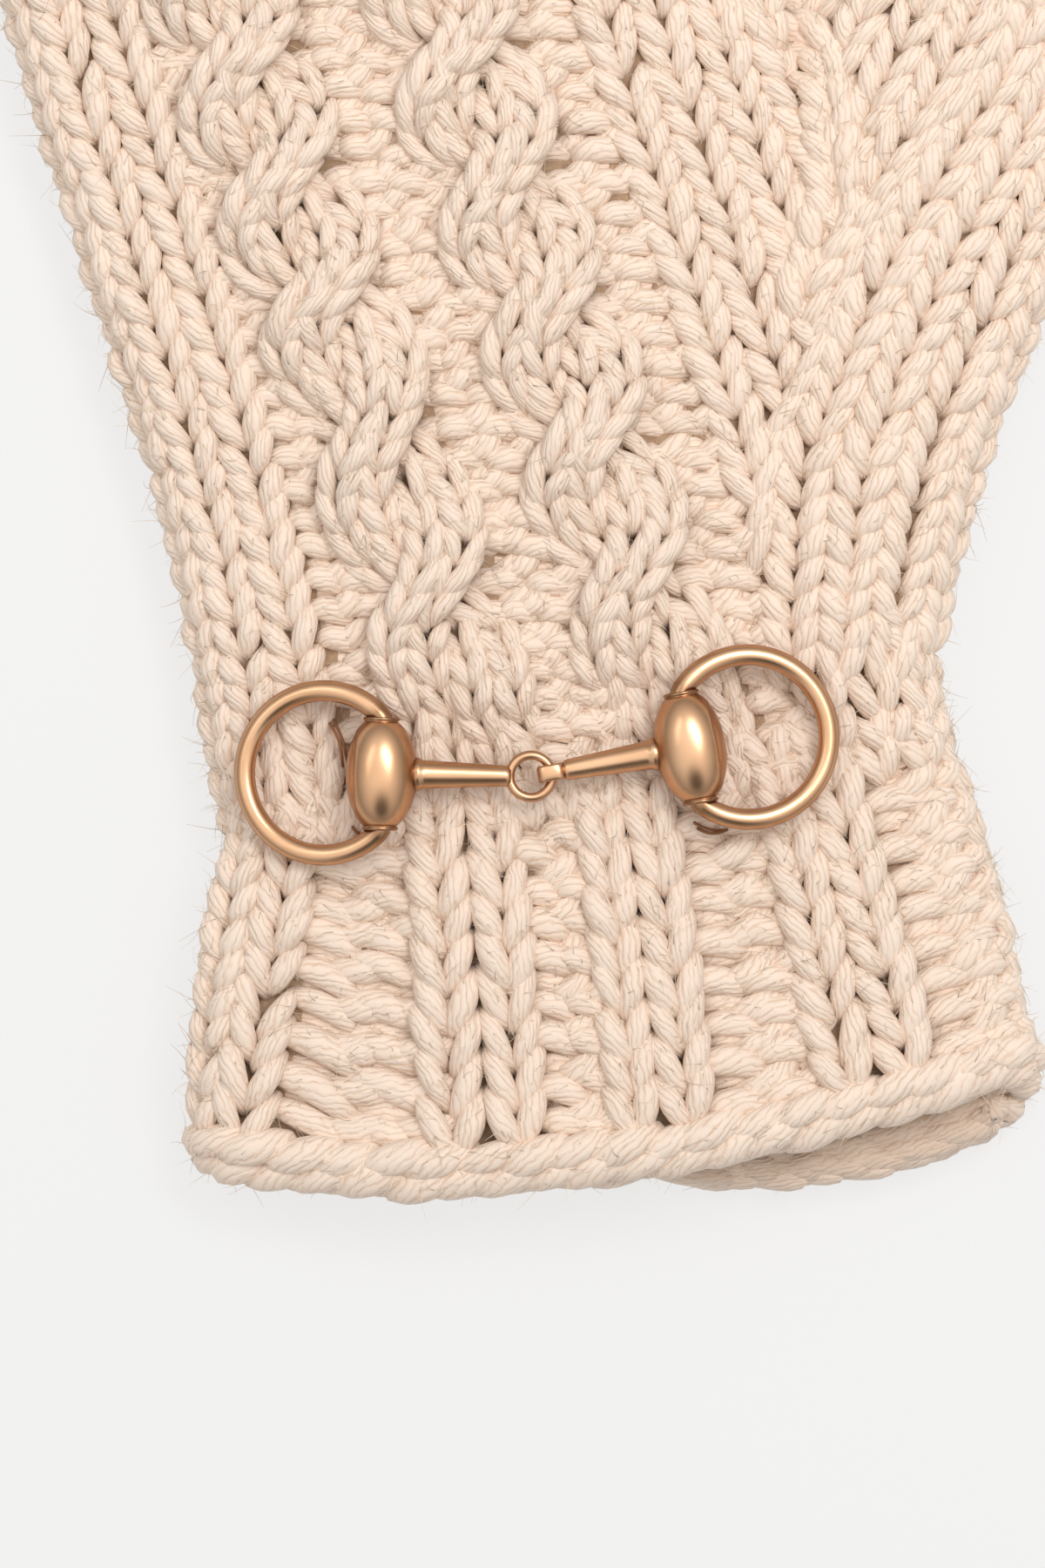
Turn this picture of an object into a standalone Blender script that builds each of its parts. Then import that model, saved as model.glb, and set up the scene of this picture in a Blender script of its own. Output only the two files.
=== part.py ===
# A cable-knit left mitten lying flat on its palm, with a brass snaffle trim sewn across its wrist.
# Sizes are millimetres here and metres in the scene. +X points to the thumb side, +Y to the
# fingertips and +Z up. The origin is on the surface that the mitten lies on, under the palm.

import math

import bpy
import bmesh
from mathutils import Matrix, Vector

MM = 0.001
CLEARANCE = 0.3        # gap between pieces that touch
WALL = 3.8             # thickness of the knitted wall
RING_STEP = 3.6        # spacing of the cross-sections along a tube
HOLLOW_STEP = 12.0     # the same inside, where the wall is plain
FOLD_POINTS = 4        # section points round each side fold
RELIEF_EDGE = 3.0      # relief dies out over this stretch beside each fold
MERGE_DISTANCE = 0.00001   # metres, between points that are one

# Plan of each knitted tube, one row of the table for each cross-section that shapes it:
# left fold x, left fold y, right fold x, right fold y, thickness at the folds, dome of the back
HAND_PLAN = [
    (-40.3, -72.1, 47.2, -59.2, 12.0, 2.6),
    (-43.1, -54.6, 43.3, -41.2, 12.3, 2.8),
    (-48.2, -31.4, 37.1, -14.4, 12.5, 3.0),
    (-57.9, -0.2, 28.8, 24.3, 12.5, 3.0),
    (-65.4, 23.7, 22.8, 48.5, 12.5, 3.0),
    (-71.0, 50.2, 13.8, 74.0, 12.5, 2.8),
    (-72.9, 73.6, 3.1, 95.0, 12.2, 2.4),
    (-69.4, 89.2, -7.8, 106.4, 11.6, 2.0),
    (-63.4, 99.2, -18.2, 111.8, 10.6, 1.6),
    (-56.4, 105.8, -27.6, 113.9, 9.0, 1.2),
    (-50.2, 109.5, -34.8, 113.9, 7.0, 0.8),
]
CUFF_PLAN = [
    (-43.1, -110.2, 56.7, -95.8, 13.2, 3.2),
    (-43.5, -95.8, 55.2, -84.5, 12.6, 3.0),
    (-42.0, -81.4, 51.5, -71.1, 12.2, 2.8),
]                      # its last row is the hand's first one
GUSSET_PLAN = [
    (21.0, -57.0, 44.8, -54.0, 11.4, 1.2),
    (20.5, -45.0, 46.8, -45.3, 12.4, 1.8),
    (20.5, -34.0, 49.1, -36.5, 13.0, 2.0),
    (21.0, -21.0, 52.3, -25.0, 13.0, 2.2),
    (24.5, -3.0, 57.7, -11.4, 13.0, 2.2),
    (27.5, 13.0, 62.5, -0.5, 13.0, 2.2),
    (31.1, 25.7, 66.9, 10.5, 13.0, 2.2),
]
THUMB_PLAN = [
    (31.1, 25.7, 66.9, 10.5, 13.0, 2.2),
    (37.8, 39.2, 72.0, 24.6, 12.8, 2.2),
    (44.3, 52.6, 77.1, 38.8, 12.6, 2.0),
    (51.1, 63.9, 80.5, 51.5, 12.0, 1.8),
    (57.1, 70.0, 80.7, 60.0, 11.0, 1.4),
    (63.0, 72.9, 78.6, 66.3, 9.0, 1.0),
    (67.7, 73.7, 75.9, 70.1, 6.4, 0.6),
]
HAND_BACK_POINTS = 39  # section points across the back of the hand and cuff
HAND_PALM_POINTS = 8
THUMB_BACK_POINTS = 12
THUMB_PALM_POINTS = 6
GUSSET_COUNTS = (20, 4)
HOLLOW_COUNTS = (14, 6)
THUMB_LIFT = 0.4       # the thumb and gusset lie this far off the surface
HAND_HOLLOW_ROWS = 9   # plan rows that the hollows reach
THUMB_HOLLOW_ROWS = 5
THUMB_ROOM_SIZE = (50.0, 40.0, 40.0)    # block that clears the hand's node for the thumb's
THUMB_ROOM_MIDDLE = (24.0, 20.0, 10.0)  # from the crotch, along and square to the thumb's first row

# Cuff: knit ribs on the back, hem rim, and how far the hem bows and the palm's hem shows below it
RIB_CENTRES = (-0.86, -0.33, 0.10, 0.585)   # share of the half width
RIB_HALF_WIDTH = 6.6
RIB_HEIGHT = 1.7
RIB_FADE = 6.0         # the ribs sink into the hand's first rows over this stretch
HEM_BOW = 7.4
PALM_HEM_REACH = 7.0
PALM_HEM_SPAN = (-0.2, 0.7)   # share of the half width over which that reach comes in
RIM_LENGTH = 4.0
RIM_HEIGHT = 0.9

# Rope cables on the back of the hand
CABLE_CENTRES = ((-0.26, -0.44), (0.27, 0.11))  # share of the half width: at the wrist, at the crotch
CROTCH_ALONG = 78.0    # distance from the wrist to the thumb crotch
CABLE_CROSSING = 15.4  # length of one crossing
CABLE_SWING = 4.4      # how far each strand swings from the cable's centre
STRAND_HALF_WIDTH = 5.6
STRAND_HEIGHT = 2.3
STRAND_LIFT = 1.0      # the strand in front rises by this much, and the other sinks
CABLE_START = 9.0      # the cables rise out of the cuff's last rows over this stretch
CABLE_FULL = 16.0
CABLE_FADE = 88.0      # and sink into the decreases before the tip
CABLE_END = 172.0

# Raised line of long stitches where the gusset leaves the hand
GUSSET_LINE = ((23.7, -40.0), (24.2, -28.0), (33.0, -7.2), (39.1, 4.1), (47.0, 15.0))
GUSSET_LINE_HALF_WIDTH = 2.6
GUSSET_LINE_HEIGHT = 1.0

# Snaffle trim: two castings, each an egg-shaped barrel with a tapered arm, and a ring in each barrel
BARREL_RADIUS = 4.1
BARREL_HALF_LENGTH = 6.2
BARREL_FULL_LENGTH = 6.8   # where the egg's outline would close
EGG_POWERS = (2.4, 0.42)   # how full the egg's shoulders are
BARREL_STEPS = 10
BARREL_SIDES = 24
BORE_RADIUS = 1.62
RING_WIRE = 1.25           # radius of the ring's wire
RING_RADIUS = 9.7          # to the middle of the wire
RING_HALF_PIN = 6.7        # half of the ring's straight stretch, through the barrel
RING_STEPS = 34
ARM_INSET = 0.9            # an arm starts this far outside the bore, within the barrel's wall
ARM_SIDES = 20
ARM_THICK = 1.85
ARM_THIN = 1.2
EYE_RADIUS = 2.6           # to the middle of the eye's wire
EYE_WIRE = 0.5
EYE_SIDES = (24, 8)
LOOP_WIDTH = 2.0
LOOP_LENGTH = 3.3
LOOP_HEIGHT = 3.1
LOOP_WINDOW = (2.05, 1.9)
LOOP_STRAP = 0.6
LOOP_REACH = 0.8           # how near the strap comes to the eye's centre
LEFT_BARREL = (-20.8, -64.7, 18.1)
RIGHT_BARREL = (15.7, -61.6, 18.8)
EYE_CENTRE = (-3.1, -65.0, 17.9)
LEFT_RING_DROP = 14.0      # degrees that each ring's far side lies below its barrel
RIGHT_RING_DROP = 9.0

WOOL = ((0.80, 0.67, 0.54), 0.95, 0.0)
BRASS = ((0.48, 0.22, 0.08), 0.35, 1.0)


def new_collection(name):
    collection = bpy.data.collections.new(name)
    bpy.context.scene.collection.children.link(collection)
    return collection


def make_material(name, finish):
    colour, roughness, metallic = finish
    material = bpy.data.materials.new(name)
    material.use_nodes = True
    shader = material.node_tree.nodes["Principled BSDF"]
    shader.inputs["Base Color"].default_value = (*colour, 1.0)
    shader.inputs["Roughness"].default_value = roughness
    shader.inputs["Metallic"].default_value = metallic
    return material


def add_object(name, mesh, collection, finish=None):
    item = bpy.data.objects.new(name, mesh)
    collection.objects.link(item)
    if finish:
        mesh.materials.append(make_material(name, finish))
        mesh.shade_smooth()
    else:
        item.hide_render = True
        item.display_type = "WIRE"
    return item


def claim(name, collection, finish=None):
    # Takes the primitive that was just added into a collection of this file.
    item = bpy.context.object
    mesh = item.data
    mesh.transform(item.matrix_world)
    bpy.data.objects.remove(item)
    return add_object(name, mesh, collection, finish)


def cut(item, operation, other):
    modifier = item.modifiers.new(operation.lower(), "BOOLEAN")
    modifier.operation = operation
    modifier.object = other


def smooth_ramp(value, start, end):
    share = min(max((value - start) / (end - start), 0.0), 1.0)
    return share * share * (3.0 - 2.0 * share)


def plan_row(plan, place):
    # Catmull-Rom curve through the rows of a plan table, at a place counted in rows.
    low = min(int(place), len(plan) - 2)
    share = place - low
    before, start, end, after = (
        plan[min(max(low + step, 0), len(plan) - 1)] for step in (-1, 0, 1, 2))
    return [
        0.5 * (2 * b + (c - a) * share + (2 * a - 5 * b + 4 * c - d) * share ** 2
               + (3 * b - a - 3 * c + d) * share ** 3)
        for a, b, c, d in zip(before, start, end, after)]


def row_before(row, distance):
    # The plan row that lies this far down the tube from a given one.
    left_x, left_y, right_x, right_y, *rest = row
    direction = (Vector((right_x, right_y)) - Vector((left_x, left_y))).normalized()
    back_x, back_y = direction.y * distance, -direction.x * distance
    return (left_x + back_x, left_y + back_y, right_x + back_x, right_y + back_y, *rest)


def plan_places(plan, step):
    # Places along a plan about one step apart, with how far along the tube each one is.
    places = [(0.0, 0.0)]
    for index in range(len(plan) - 1):
        start, end = plan[index], plan[index + 1]
        length = math.dist(
            ((start[0] + start[2]) / 2, (start[1] + start[3]) / 2),
            ((end[0] + end[2]) / 2, (end[1] + end[3]) / 2))
        parts = max(1, round(length / step))
        base = places[-1][1]
        places += [(index + part / parts, base + length * part / parts) for part in range(1, parts + 1)]
    return places


def section(half_width, thickness, dome, inset, back_points, palm_points):
    # Flattened tube: (across, height, side) from the left over the domed back, round the right
    # fold, back over the flat palm and round the left fold. Only back points have side 1.
    radius = thickness / 2 - inset
    core = half_width - thickness / 2
    points = []
    for index in range(back_points):
        across = core * (2 * index / (back_points - 1) - 1)
        points.append((across, thickness - inset + dome * (1 - (across / core) ** 2), 1))
    for side, first in ((1, 90), (-1, -90)):
        if side < 0:
            points += [(core * (1 - 2 * index / (palm_points - 1)), inset, 0)
                       for index in range(palm_points)]
        for index in range(1, FOLD_POINTS + 1):
            angle = math.radians(first - 180 * index / (FOLD_POINTS + 1))
            points.append((side * core + radius * math.cos(angle),
                           thickness / 2 + radius * math.sin(angle), 0))
    return points


def tube_rings(plan, places, inset, counts, lift=0.0, relief=None, hem=None):
    # One ring of points for each place. relief raises a back point and hem shifts a point in plan.
    rings = []
    for place, along in places:
        left_x, left_y, right_x, right_y, thickness, dome = plan_row(plan, place)
        left, right = Vector((left_x, left_y)), Vector((right_x, right_y))
        middle, direction = (left + right) / 2, (right - left).normalized()
        half_width = (right - left).length / 2
        forward = Vector((-direction.y, direction.x))
        ring = []
        for across, height, on_back in section(half_width, thickness, dome, inset, *counts):
            spot = middle + direction * across
            if hem:
                spot = spot + forward * hem(across / half_width, height / (thickness + dome), along)
            if relief and on_back:
                edge = smooth_ramp(half_width - thickness / 2 - abs(across), 0.0, RELIEF_EDGE)
                height += edge * relief(across, half_width, along, spot)
            ring.append(Vector((spot.x, spot.y, height + lift)) * MM)
        rings.append(ring)
    return rings


def loft(name, outer, collection, finish=None, inner=None, open_far_end=False):
    # Closed mesh over rings. With inner rings it is a shell, open at the first ring, and at the
    # last one too where open_far_end says so.
    shape = bmesh.new()
    walls = [[[shape.verts.new(point) for point in ring] for ring in rings]
             for rings in (outer, inner) if rings]

    def bridge(first, second):
        for index in range(len(first)):
            following = (index + 1) % len(first)
            shape.faces.new((first[index], first[following], second[following], second[index]))

    for wall in walls:
        for first, second in zip(wall, wall[1:]):
            bridge(first, second)
    if inner:
        bridge(walls[0][0], walls[1][0])
    else:
        shape.faces.new(walls[0][0])
    if inner and open_far_end:
        bridge(walls[0][-1], walls[1][-1])
    else:
        for wall in walls:
            shape.faces.new(wall[-1])
    bmesh.ops.triangulate(shape, faces=[face for face in shape.faces if len(face.verts) > 3])
    bmesh.ops.recalc_face_normals(shape, faces=shape.faces)
    mesh = bpy.data.meshes.new(name)
    shape.to_mesh(mesh)
    shape.free()
    return add_object(name, mesh, collection, finish)


def line_distance(spot, line):
    nearest = math.inf
    for start, end in zip(line, line[1:]):
        start, end = Vector(start), Vector(end)
        run = end - start
        share = min(max((spot - start).dot(run) / run.length_squared, 0.0), 1.0)
        nearest = min(nearest, (spot - start - run * share).length)
    return nearest


def gusset_line_relief(spot):
    share = line_distance(spot, GUSSET_LINE) / GUSSET_LINE_HALF_WIDTH
    return GUSSET_LINE_HEIGHT * (1 - share * share) if share < 1 else 0.0


def cable_relief(across, along):
    # Two strands wind round each other: the one in front runs from lower left to upper right.
    height = 0.0
    for strand in (0, 1):
        turn = math.pi * (along / CABLE_CROSSING + strand)
        offset = (across + CABLE_SWING * math.cos(turn)) / STRAND_HALF_WIDTH
        if abs(offset) < 1:
            crown = STRAND_HEIGHT + STRAND_LIFT * math.sin(turn)
            height = max(height, crown * math.sqrt(1 - offset * offset))
    return height


def hand_relief(across, half_width, along, spot):
    fade = smooth_ramp(along, CABLE_START, CABLE_FULL) * (1 - smooth_ramp(along, CABLE_FADE, CABLE_END))
    share = along / CROTCH_ALONG
    cables = 0.0
    for at_wrist, at_crotch in CABLE_CENTRES:
        centre = (at_wrist + (at_crotch - at_wrist) * min(share, 1.0)) * half_width
        cables = max(cables, cable_relief(across - centre, along))
    return max(fade * cables, gusset_line_relief(spot))


def gusset_relief(across, half_width, along, spot):
    return gusset_line_relief(spot)


def cuff_relief(across, half_width, along, spot):
    height = RIM_HEIGHT * (1 - smooth_ramp(along, RIM_LENGTH / 2, RIM_LENGTH))
    ends = smooth_ramp(along, RIM_LENGTH / 4, RIM_LENGTH)
    ends *= 1 - smooth_ramp(along, cuff_length - RIB_FADE, cuff_length)
    for centre in RIB_CENTRES:
        offset = (across - centre * half_width) / RIB_HALF_WIDTH
        if abs(offset) < 1:
            height = max(height, ends * RIB_HEIGHT * (1 - offset ** 4))
    return height


def cuff_hem(across_share, height_share, along):
    # The row bows towards the hem, and the palm's hem reaches out below the back's on the thumb side.
    fade = 1 - smooth_ramp(along, 0.0, cuff_length)
    bow = HEM_BOW * (1 - across_share ** 2)
    reach = PALM_HEM_REACH * smooth_ramp(across_share, *PALM_HEM_SPAN) * (1 - height_share)
    return -fade * (bow + reach)


def build_knit(parts, cutters):
    hand_counts = (HAND_BACK_POINTS, HAND_PALM_POINTS)
    thumb_counts = (THUMB_BACK_POINTS, THUMB_PALM_POINTS)

    cuff_places = plan_places(cuff_plan, RING_STEP)
    loft("cuff",
         tube_rings(cuff_plan, cuff_places, 0.0, hand_counts, relief=cuff_relief, hem=cuff_hem),
         parts, WOOL,
         inner=tube_rings(cuff_plan, plan_places(cuff_plan, HOLLOW_STEP), WALL, hand_counts,
                          hem=cuff_hem),
         open_far_end=True)

    hand = loft("hand", tube_rings(HAND_PLAN, plan_places(HAND_PLAN, RING_STEP), 0.0, hand_counts,
                                   relief=hand_relief), parts, WOOL)
    hollow_plan = [row_before(HAND_PLAN[0], WALL)] + HAND_PLAN[1:HAND_HOLLOW_ROWS]
    hollow = loft("hand_hollow", tube_rings(hollow_plan, plan_places(hollow_plan, HOLLOW_STEP),
                                            WALL, HOLLOW_COUNTS), cutters)
    gusset_plan = GUSSET_PLAN + THUMB_PLAN[1:2]
    gusset = loft("gusset_form", tube_rings(gusset_plan, plan_places(gusset_plan, RING_STEP), 0.0,
                                            GUSSET_COUNTS, lift=THUMB_LIFT, relief=gusset_relief),
                  cutters)
    gusset_hollow = loft("gusset_hollow", tube_rings(
        gusset_plan, plan_places(gusset_plan, HOLLOW_STEP), WALL, thumb_counts,
        lift=THUMB_LIFT), cutters)
    cut(hollow, "UNION", gusset_hollow)

    # The thumb's tube starts on a plane across the crotch, square to the thumb.
    left, right = Vector(THUMB_PLAN[0][:2]), Vector(THUMB_PLAN[0][2:4])
    direction = (right - left).normalized()
    angle = math.atan2(direction.y, direction.x)
    bpy.ops.mesh.primitive_cube_add(size=1.0)
    bpy.context.object.matrix_world = (
        Matrix.Translation(Vector((left.x, left.y, 0.0)) * MM) @ Matrix.Rotation(angle, 4, "Z")
        @ Matrix.Translation(Vector(THUMB_ROOM_MIDDLE) * MM)
        @ Matrix.Diagonal((*(Vector(THUMB_ROOM_SIZE) * MM), 1.0)))
    thumb_room = claim("thumb_room", cutters)

    cut(hand, "UNION", gusset)
    cut(hand, "DIFFERENCE", hollow)
    cut(hand, "DIFFERENCE", thumb_room)

    thumb_places = plan_places(THUMB_PLAN, RING_STEP)
    inside_plan = THUMB_PLAN[:THUMB_HOLLOW_ROWS]
    inside_places = plan_places(inside_plan, HOLLOW_STEP / 2)
    thumb = loft("thumb", tube_rings(THUMB_PLAN, thumb_places, 0.0, thumb_counts, lift=THUMB_LIFT),
                 parts, WOOL,
                 inner=tube_rings(inside_plan, inside_places, WALL, thumb_counts, lift=THUMB_LIFT))
    forward = Vector((-direction.y, direction.x, 0.0))
    thumb.location = forward * CLEARANCE * MM


def turned(name, outline, collection):
    # Closed outline of (radius, height) pairs turned about Z.
    mesh = bpy.data.meshes.new(name)
    points = [(radius * MM, 0.0, height * MM) for radius, height in outline]
    count = len(points)
    mesh.from_pydata(points, [(index, (index + 1) % count) for index in range(count)], [])
    item = add_object(name, mesh, collection)
    screw = item.modifiers.new("turn", "SCREW")
    screw.steps = screw.render_steps = BARREL_SIDES
    screw.use_merge_vertices = True
    screw.merge_threshold = MERGE_DISTANCE
    return item


def realise(item, name, collection):
    # Keeps what a guide's modifiers make as a mesh of its own, and removes the guide.
    bpy.context.view_layer.update()
    evaluated = item.evaluated_get(bpy.context.evaluated_depsgraph_get())
    mesh = bpy.data.meshes.new_from_object(evaluated)
    mesh.transform(item.matrix_world)
    bpy.data.objects.remove(item)
    shape = bmesh.new()
    shape.from_mesh(mesh)
    bmesh.ops.remove_doubles(shape, verts=shape.verts, dist=MERGE_DISTANCE)
    bmesh.ops.triangulate(shape, faces=shape.faces)
    bmesh.ops.recalc_face_normals(shape, faces=shape.faces)
    shape.to_mesh(mesh)
    shape.free()
    return add_object(name, mesh, collection)


def barrel_outline():
    # Outer side top to bottom as an egg, then the bore back up.
    outline = []
    for index in range(BARREL_STEPS + 1):
        height = BARREL_HALF_LENGTH * (1 - 2 * index / BARREL_STEPS)
        fullness = (1 - abs(height / BARREL_FULL_LENGTH) ** EGG_POWERS[0]) ** EGG_POWERS[1]
        outline.append((BARREL_RADIUS * fullness, height))
    return outline + [(BORE_RADIUS, -BARREL_HALF_LENGTH), (BORE_RADIUS, BARREL_HALF_LENGTH)]


def ring_wire(name):
    # A circle of wire whose stretch inside the barrel is straight, along the barrel's axis (+Y).
    # The ring lies towards -X of that axis.
    offset = math.sqrt(RING_RADIUS ** 2 - RING_HALF_PIN ** 2)
    gap = math.atan2(RING_HALF_PIN, offset)
    points = [Vector((0.0, RING_HALF_PIN * share, 0.0)) for share in (-1.0, 1.0)]
    for index in range(1, RING_STEPS):
        angle = gap + (2 * math.pi - 2 * gap) * index / RING_STEPS
        points.append(Vector((RING_RADIUS * math.cos(angle) - offset,
                              RING_RADIUS * math.sin(angle), 0.0)))
    curve = bpy.data.curves.new(name, "CURVE")
    curve.dimensions = "3D"
    curve.bevel_depth = RING_WIRE * MM
    curve.bevel_resolution = 3
    wire = curve.splines.new("POLY")
    wire.points.add(len(points) - 1)
    for target, point in zip(wire.points, points):
        target.co = (*(point * MM), 1.0)
    wire.use_cyclic_u = True
    return curve


def casting(name, barrel_centre, end_piece, parts, cutters):
    # Barrel, arm and end piece of one half, made with +X from the barrel to the eye. Returns the
    # level frame at the barrel, where the ring hangs.
    centre, eye = Vector(barrel_centre), Vector(EYE_CENTRE)
    run = eye - centre
    length = run.length
    turn = Matrix.Rotation(math.pi / 2, 4, "X")
    guide = turned(name + "_barrel_form", barrel_outline(), cutters)
    barrel = realise(guide, name, cutters)
    barrel.data.transform(turn)
    arm_start, arm_end = BORE_RADIUS + ARM_INSET, length - end_piece["arm_stops"]
    bpy.ops.mesh.primitive_cone_add(
        vertices=ARM_SIDES, radius1=ARM_THICK * MM, radius2=ARM_THIN * MM, depth=(arm_end - arm_start) * MM,
        location=((arm_start + arm_end) / 2 * MM, 0.0, 0.0), rotation=(0.0, math.pi / 2, 0.0))
    arm = claim(name + "_arm_form", cutters)
    end = end_piece["build"](name + "_end_form", length, cutters)
    cut(barrel, "UNION", arm)
    cut(barrel, "UNION", end)
    level = Matrix.Translation(centre * MM) @ Matrix.Rotation(math.atan2(run.y, run.x), 4, "Z")
    finished = realise(barrel, name, cutters)
    for guide in (arm, end):
        bpy.data.objects.remove(guide)
    mesh = finished.data
    bpy.data.objects.remove(finished)
    item = add_object(name, mesh, parts, BRASS)
    item.matrix_world = level @ Matrix.Rotation(-math.asin(run.z / length), 4, "Y")
    return level


def build_eye(name, length, cutters):
    bpy.ops.mesh.primitive_torus_add(
        major_radius=EYE_RADIUS * MM, minor_radius=EYE_WIRE * MM,
        major_segments=EYE_SIDES[0], minor_segments=EYE_SIDES[1],
        location=(length * MM, 0.0, 0.0))
    return claim(name, cutters)


def build_loop(name, length, cutters):
    # A strap bent round the eye's wire: a block with a window through it, seen from the side.
    inner_edge = length - LOOP_REACH
    bpy.ops.mesh.primitive_cube_add(size=1.0, location=((inner_edge - LOOP_LENGTH / 2) * MM, 0.0, 0.0))
    bpy.context.object.scale = (LOOP_LENGTH * MM, LOOP_WIDTH * MM, LOOP_HEIGHT * MM)
    bpy.context.view_layer.update()
    block = claim(name + "_block", cutters)
    window_centre = inner_edge - LOOP_STRAP - LOOP_WINDOW[0] / 2
    bpy.ops.mesh.primitive_cube_add(size=1.0, location=(window_centre * MM, 0.0, 0.0))
    bpy.context.object.scale = (LOOP_WINDOW[0] * MM, 2 * LOOP_WIDTH * MM, LOOP_WINDOW[1] * MM)
    bpy.context.view_layer.update()
    window = claim(name + "_window", cutters)
    cut(block, "DIFFERENCE", window)
    loop = realise(block, name, cutters)
    bpy.data.objects.remove(window)
    return loop


def build_trim(parts, cutters):
    eye_piece = {"build": build_eye, "arm_stops": EYE_RADIUS}
    loop_piece = {"build": build_loop, "arm_stops": LOOP_REACH + LOOP_LENGTH - LOOP_STRAP / 2}
    left_frame = casting("left_arm", LEFT_BARREL, eye_piece, parts, cutters)
    right_frame = casting("right_arm", RIGHT_BARREL, loop_piece, parts, cutters)
    curve = ring_wire("ring")
    for name, frame, drop in (("left_ring", left_frame, LEFT_RING_DROP),
                              ("right_ring", right_frame, RIGHT_RING_DROP)):
        guide = bpy.data.objects.new(name + "_wire", curve)
        cutters.objects.link(guide)
        ring = realise(guide, name + "_mesh", cutters)
        mesh = ring.data
        bpy.data.objects.remove(ring)
        item = add_object(name, mesh, parts, BRASS)
        item.matrix_world = frame @ Matrix.Rotation(-math.radians(drop), 4, "Y")


for old in list(bpy.data.objects):
    bpy.data.objects.remove(old)
cuff_plan = CUFF_PLAN + [row_before(HAND_PLAN[0], CLEARANCE)]
cuff_length = plan_places(cuff_plan, RING_STEP)[-1][1]
part_collection = new_collection("cable_knit_mitten")
cutter_collection = new_collection("cutters")
build_knit(part_collection, cutter_collection)
build_trim(part_collection, cutter_collection)
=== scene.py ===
import math

import bpy
import numpy as np
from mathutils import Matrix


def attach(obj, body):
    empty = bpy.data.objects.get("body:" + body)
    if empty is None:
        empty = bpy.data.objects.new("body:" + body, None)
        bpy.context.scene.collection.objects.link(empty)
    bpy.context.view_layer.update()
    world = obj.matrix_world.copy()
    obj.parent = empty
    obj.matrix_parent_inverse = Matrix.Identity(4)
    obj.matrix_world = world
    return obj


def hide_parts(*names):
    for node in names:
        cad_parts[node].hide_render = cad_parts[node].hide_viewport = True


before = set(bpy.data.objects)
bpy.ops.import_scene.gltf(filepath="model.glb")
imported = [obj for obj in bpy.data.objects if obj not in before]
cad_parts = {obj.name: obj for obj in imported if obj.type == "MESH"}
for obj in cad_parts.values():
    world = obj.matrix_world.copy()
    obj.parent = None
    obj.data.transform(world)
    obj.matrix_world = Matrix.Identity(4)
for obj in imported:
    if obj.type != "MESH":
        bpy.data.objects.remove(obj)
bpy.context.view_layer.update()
print("frame loaded")

# Plans and sizes below are in millimetres. Meshes are in metres.
mm = 0.001
rng = np.random.default_rng(11)

# The knitted tubes in plan: left fold x, y, right fold x, y, thickness, dome of the back.
handRows = [
    (-40.3, -72.1, 47.2, -59.2, 12.0, 2.6),
    (-43.1, -54.6, 43.3, -41.2, 12.3, 2.8),
    (-48.2, -31.4, 37.1, -14.4, 12.5, 3.0),
    (-57.9, -0.2, 28.8, 24.3, 12.5, 3.0),
    (-65.4, 23.7, 22.8, 48.5, 12.5, 3.0),
    (-71.0, 50.2, 13.8, 74.0, 12.5, 2.8),
    (-72.9, 73.6, 3.1, 95.0, 12.2, 2.4),
    (-69.4, 89.2, -7.8, 106.4, 11.6, 2.0),
    (-63.4, 99.2, -18.2, 111.8, 10.6, 1.6),
    (-56.4, 105.8, -27.6, 113.9, 9.0, 1.2),
    (-50.2, 109.5, -34.8, 113.9, 7.0, 0.8),
]
cuffRows = [
    (-43.1, -110.2, 56.7, -95.8, 13.2, 3.2),
    (-43.5, -95.8, 55.2, -84.5, 12.6, 3.0),
    (-42.0, -81.4, 51.5, -71.1, 12.2, 2.8),
    (-40.3, -72.4, 47.2, -59.5, 12.0, 2.6),
]
thumbRows = [
    (21.0, -57.0, 44.8, -54.0, 11.4, 1.2),
    (20.5, -45.0, 46.8, -45.3, 12.4, 1.8),
    (20.5, -34.0, 49.1, -36.5, 13.0, 2.0),
    (21.0, -21.0, 52.3, -25.0, 13.0, 2.2),
    (24.5, -3.0, 57.7, -11.4, 13.0, 2.2),
    (27.5, 13.0, 62.5, -0.5, 13.0, 2.2),
    (31.1, 25.7, 66.9, 10.5, 13.0, 2.2),
    (37.8, 39.2, 72.0, 24.6, 12.8, 2.2),
    (44.3, 52.6, 77.1, 38.8, 12.6, 2.0),
    (51.1, 63.9, 80.5, 51.5, 12.0, 1.8),
    (57.1, 70.0, 80.7, 60.0, 11.0, 1.4),
    (63.0, 72.9, 78.6, 66.3, 9.0, 1.0),
    (67.7, 73.7, 75.9, 70.1, 6.4, 0.6),
]
crotchRow = 6          # the thumb leaves the hand at this row of its plan
crotchAlong = 78.0     # and at this distance along the hand

gauge = {
    "stitchWidth": 6.4,
    "rowHeight": 3.62,
    "yarnRadius": 1.45,
    "purlRadius": 1.8,
    "unevenness": 1.25,    # 0 is machine-even, 1 is hand-knit
    # how far strands stray: along in rows, across in columns, up in mm, and in thickness
    "stray": (0.07, 0.02, 0.16, 0.05),
    "sides": 8,
    "steps": 8,
    "palmSides": 6,
    "palmSteps": 6,
    "underSides": 5,
}


def ease(value, start, end):
    # 0 up to start, 1 from end on, and 3 u^2 - 2 u^3 between them
    share = np.clip((value - start) / (end - start), 0.0, 1.0)
    return share * share * (3.0 - 2.0 * share)


def unit(vectors):
    # vectors / their lengths
    return vectors / np.maximum(np.linalg.norm(vectors, axis=-1, keepdims=True), 1e-9)


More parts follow.
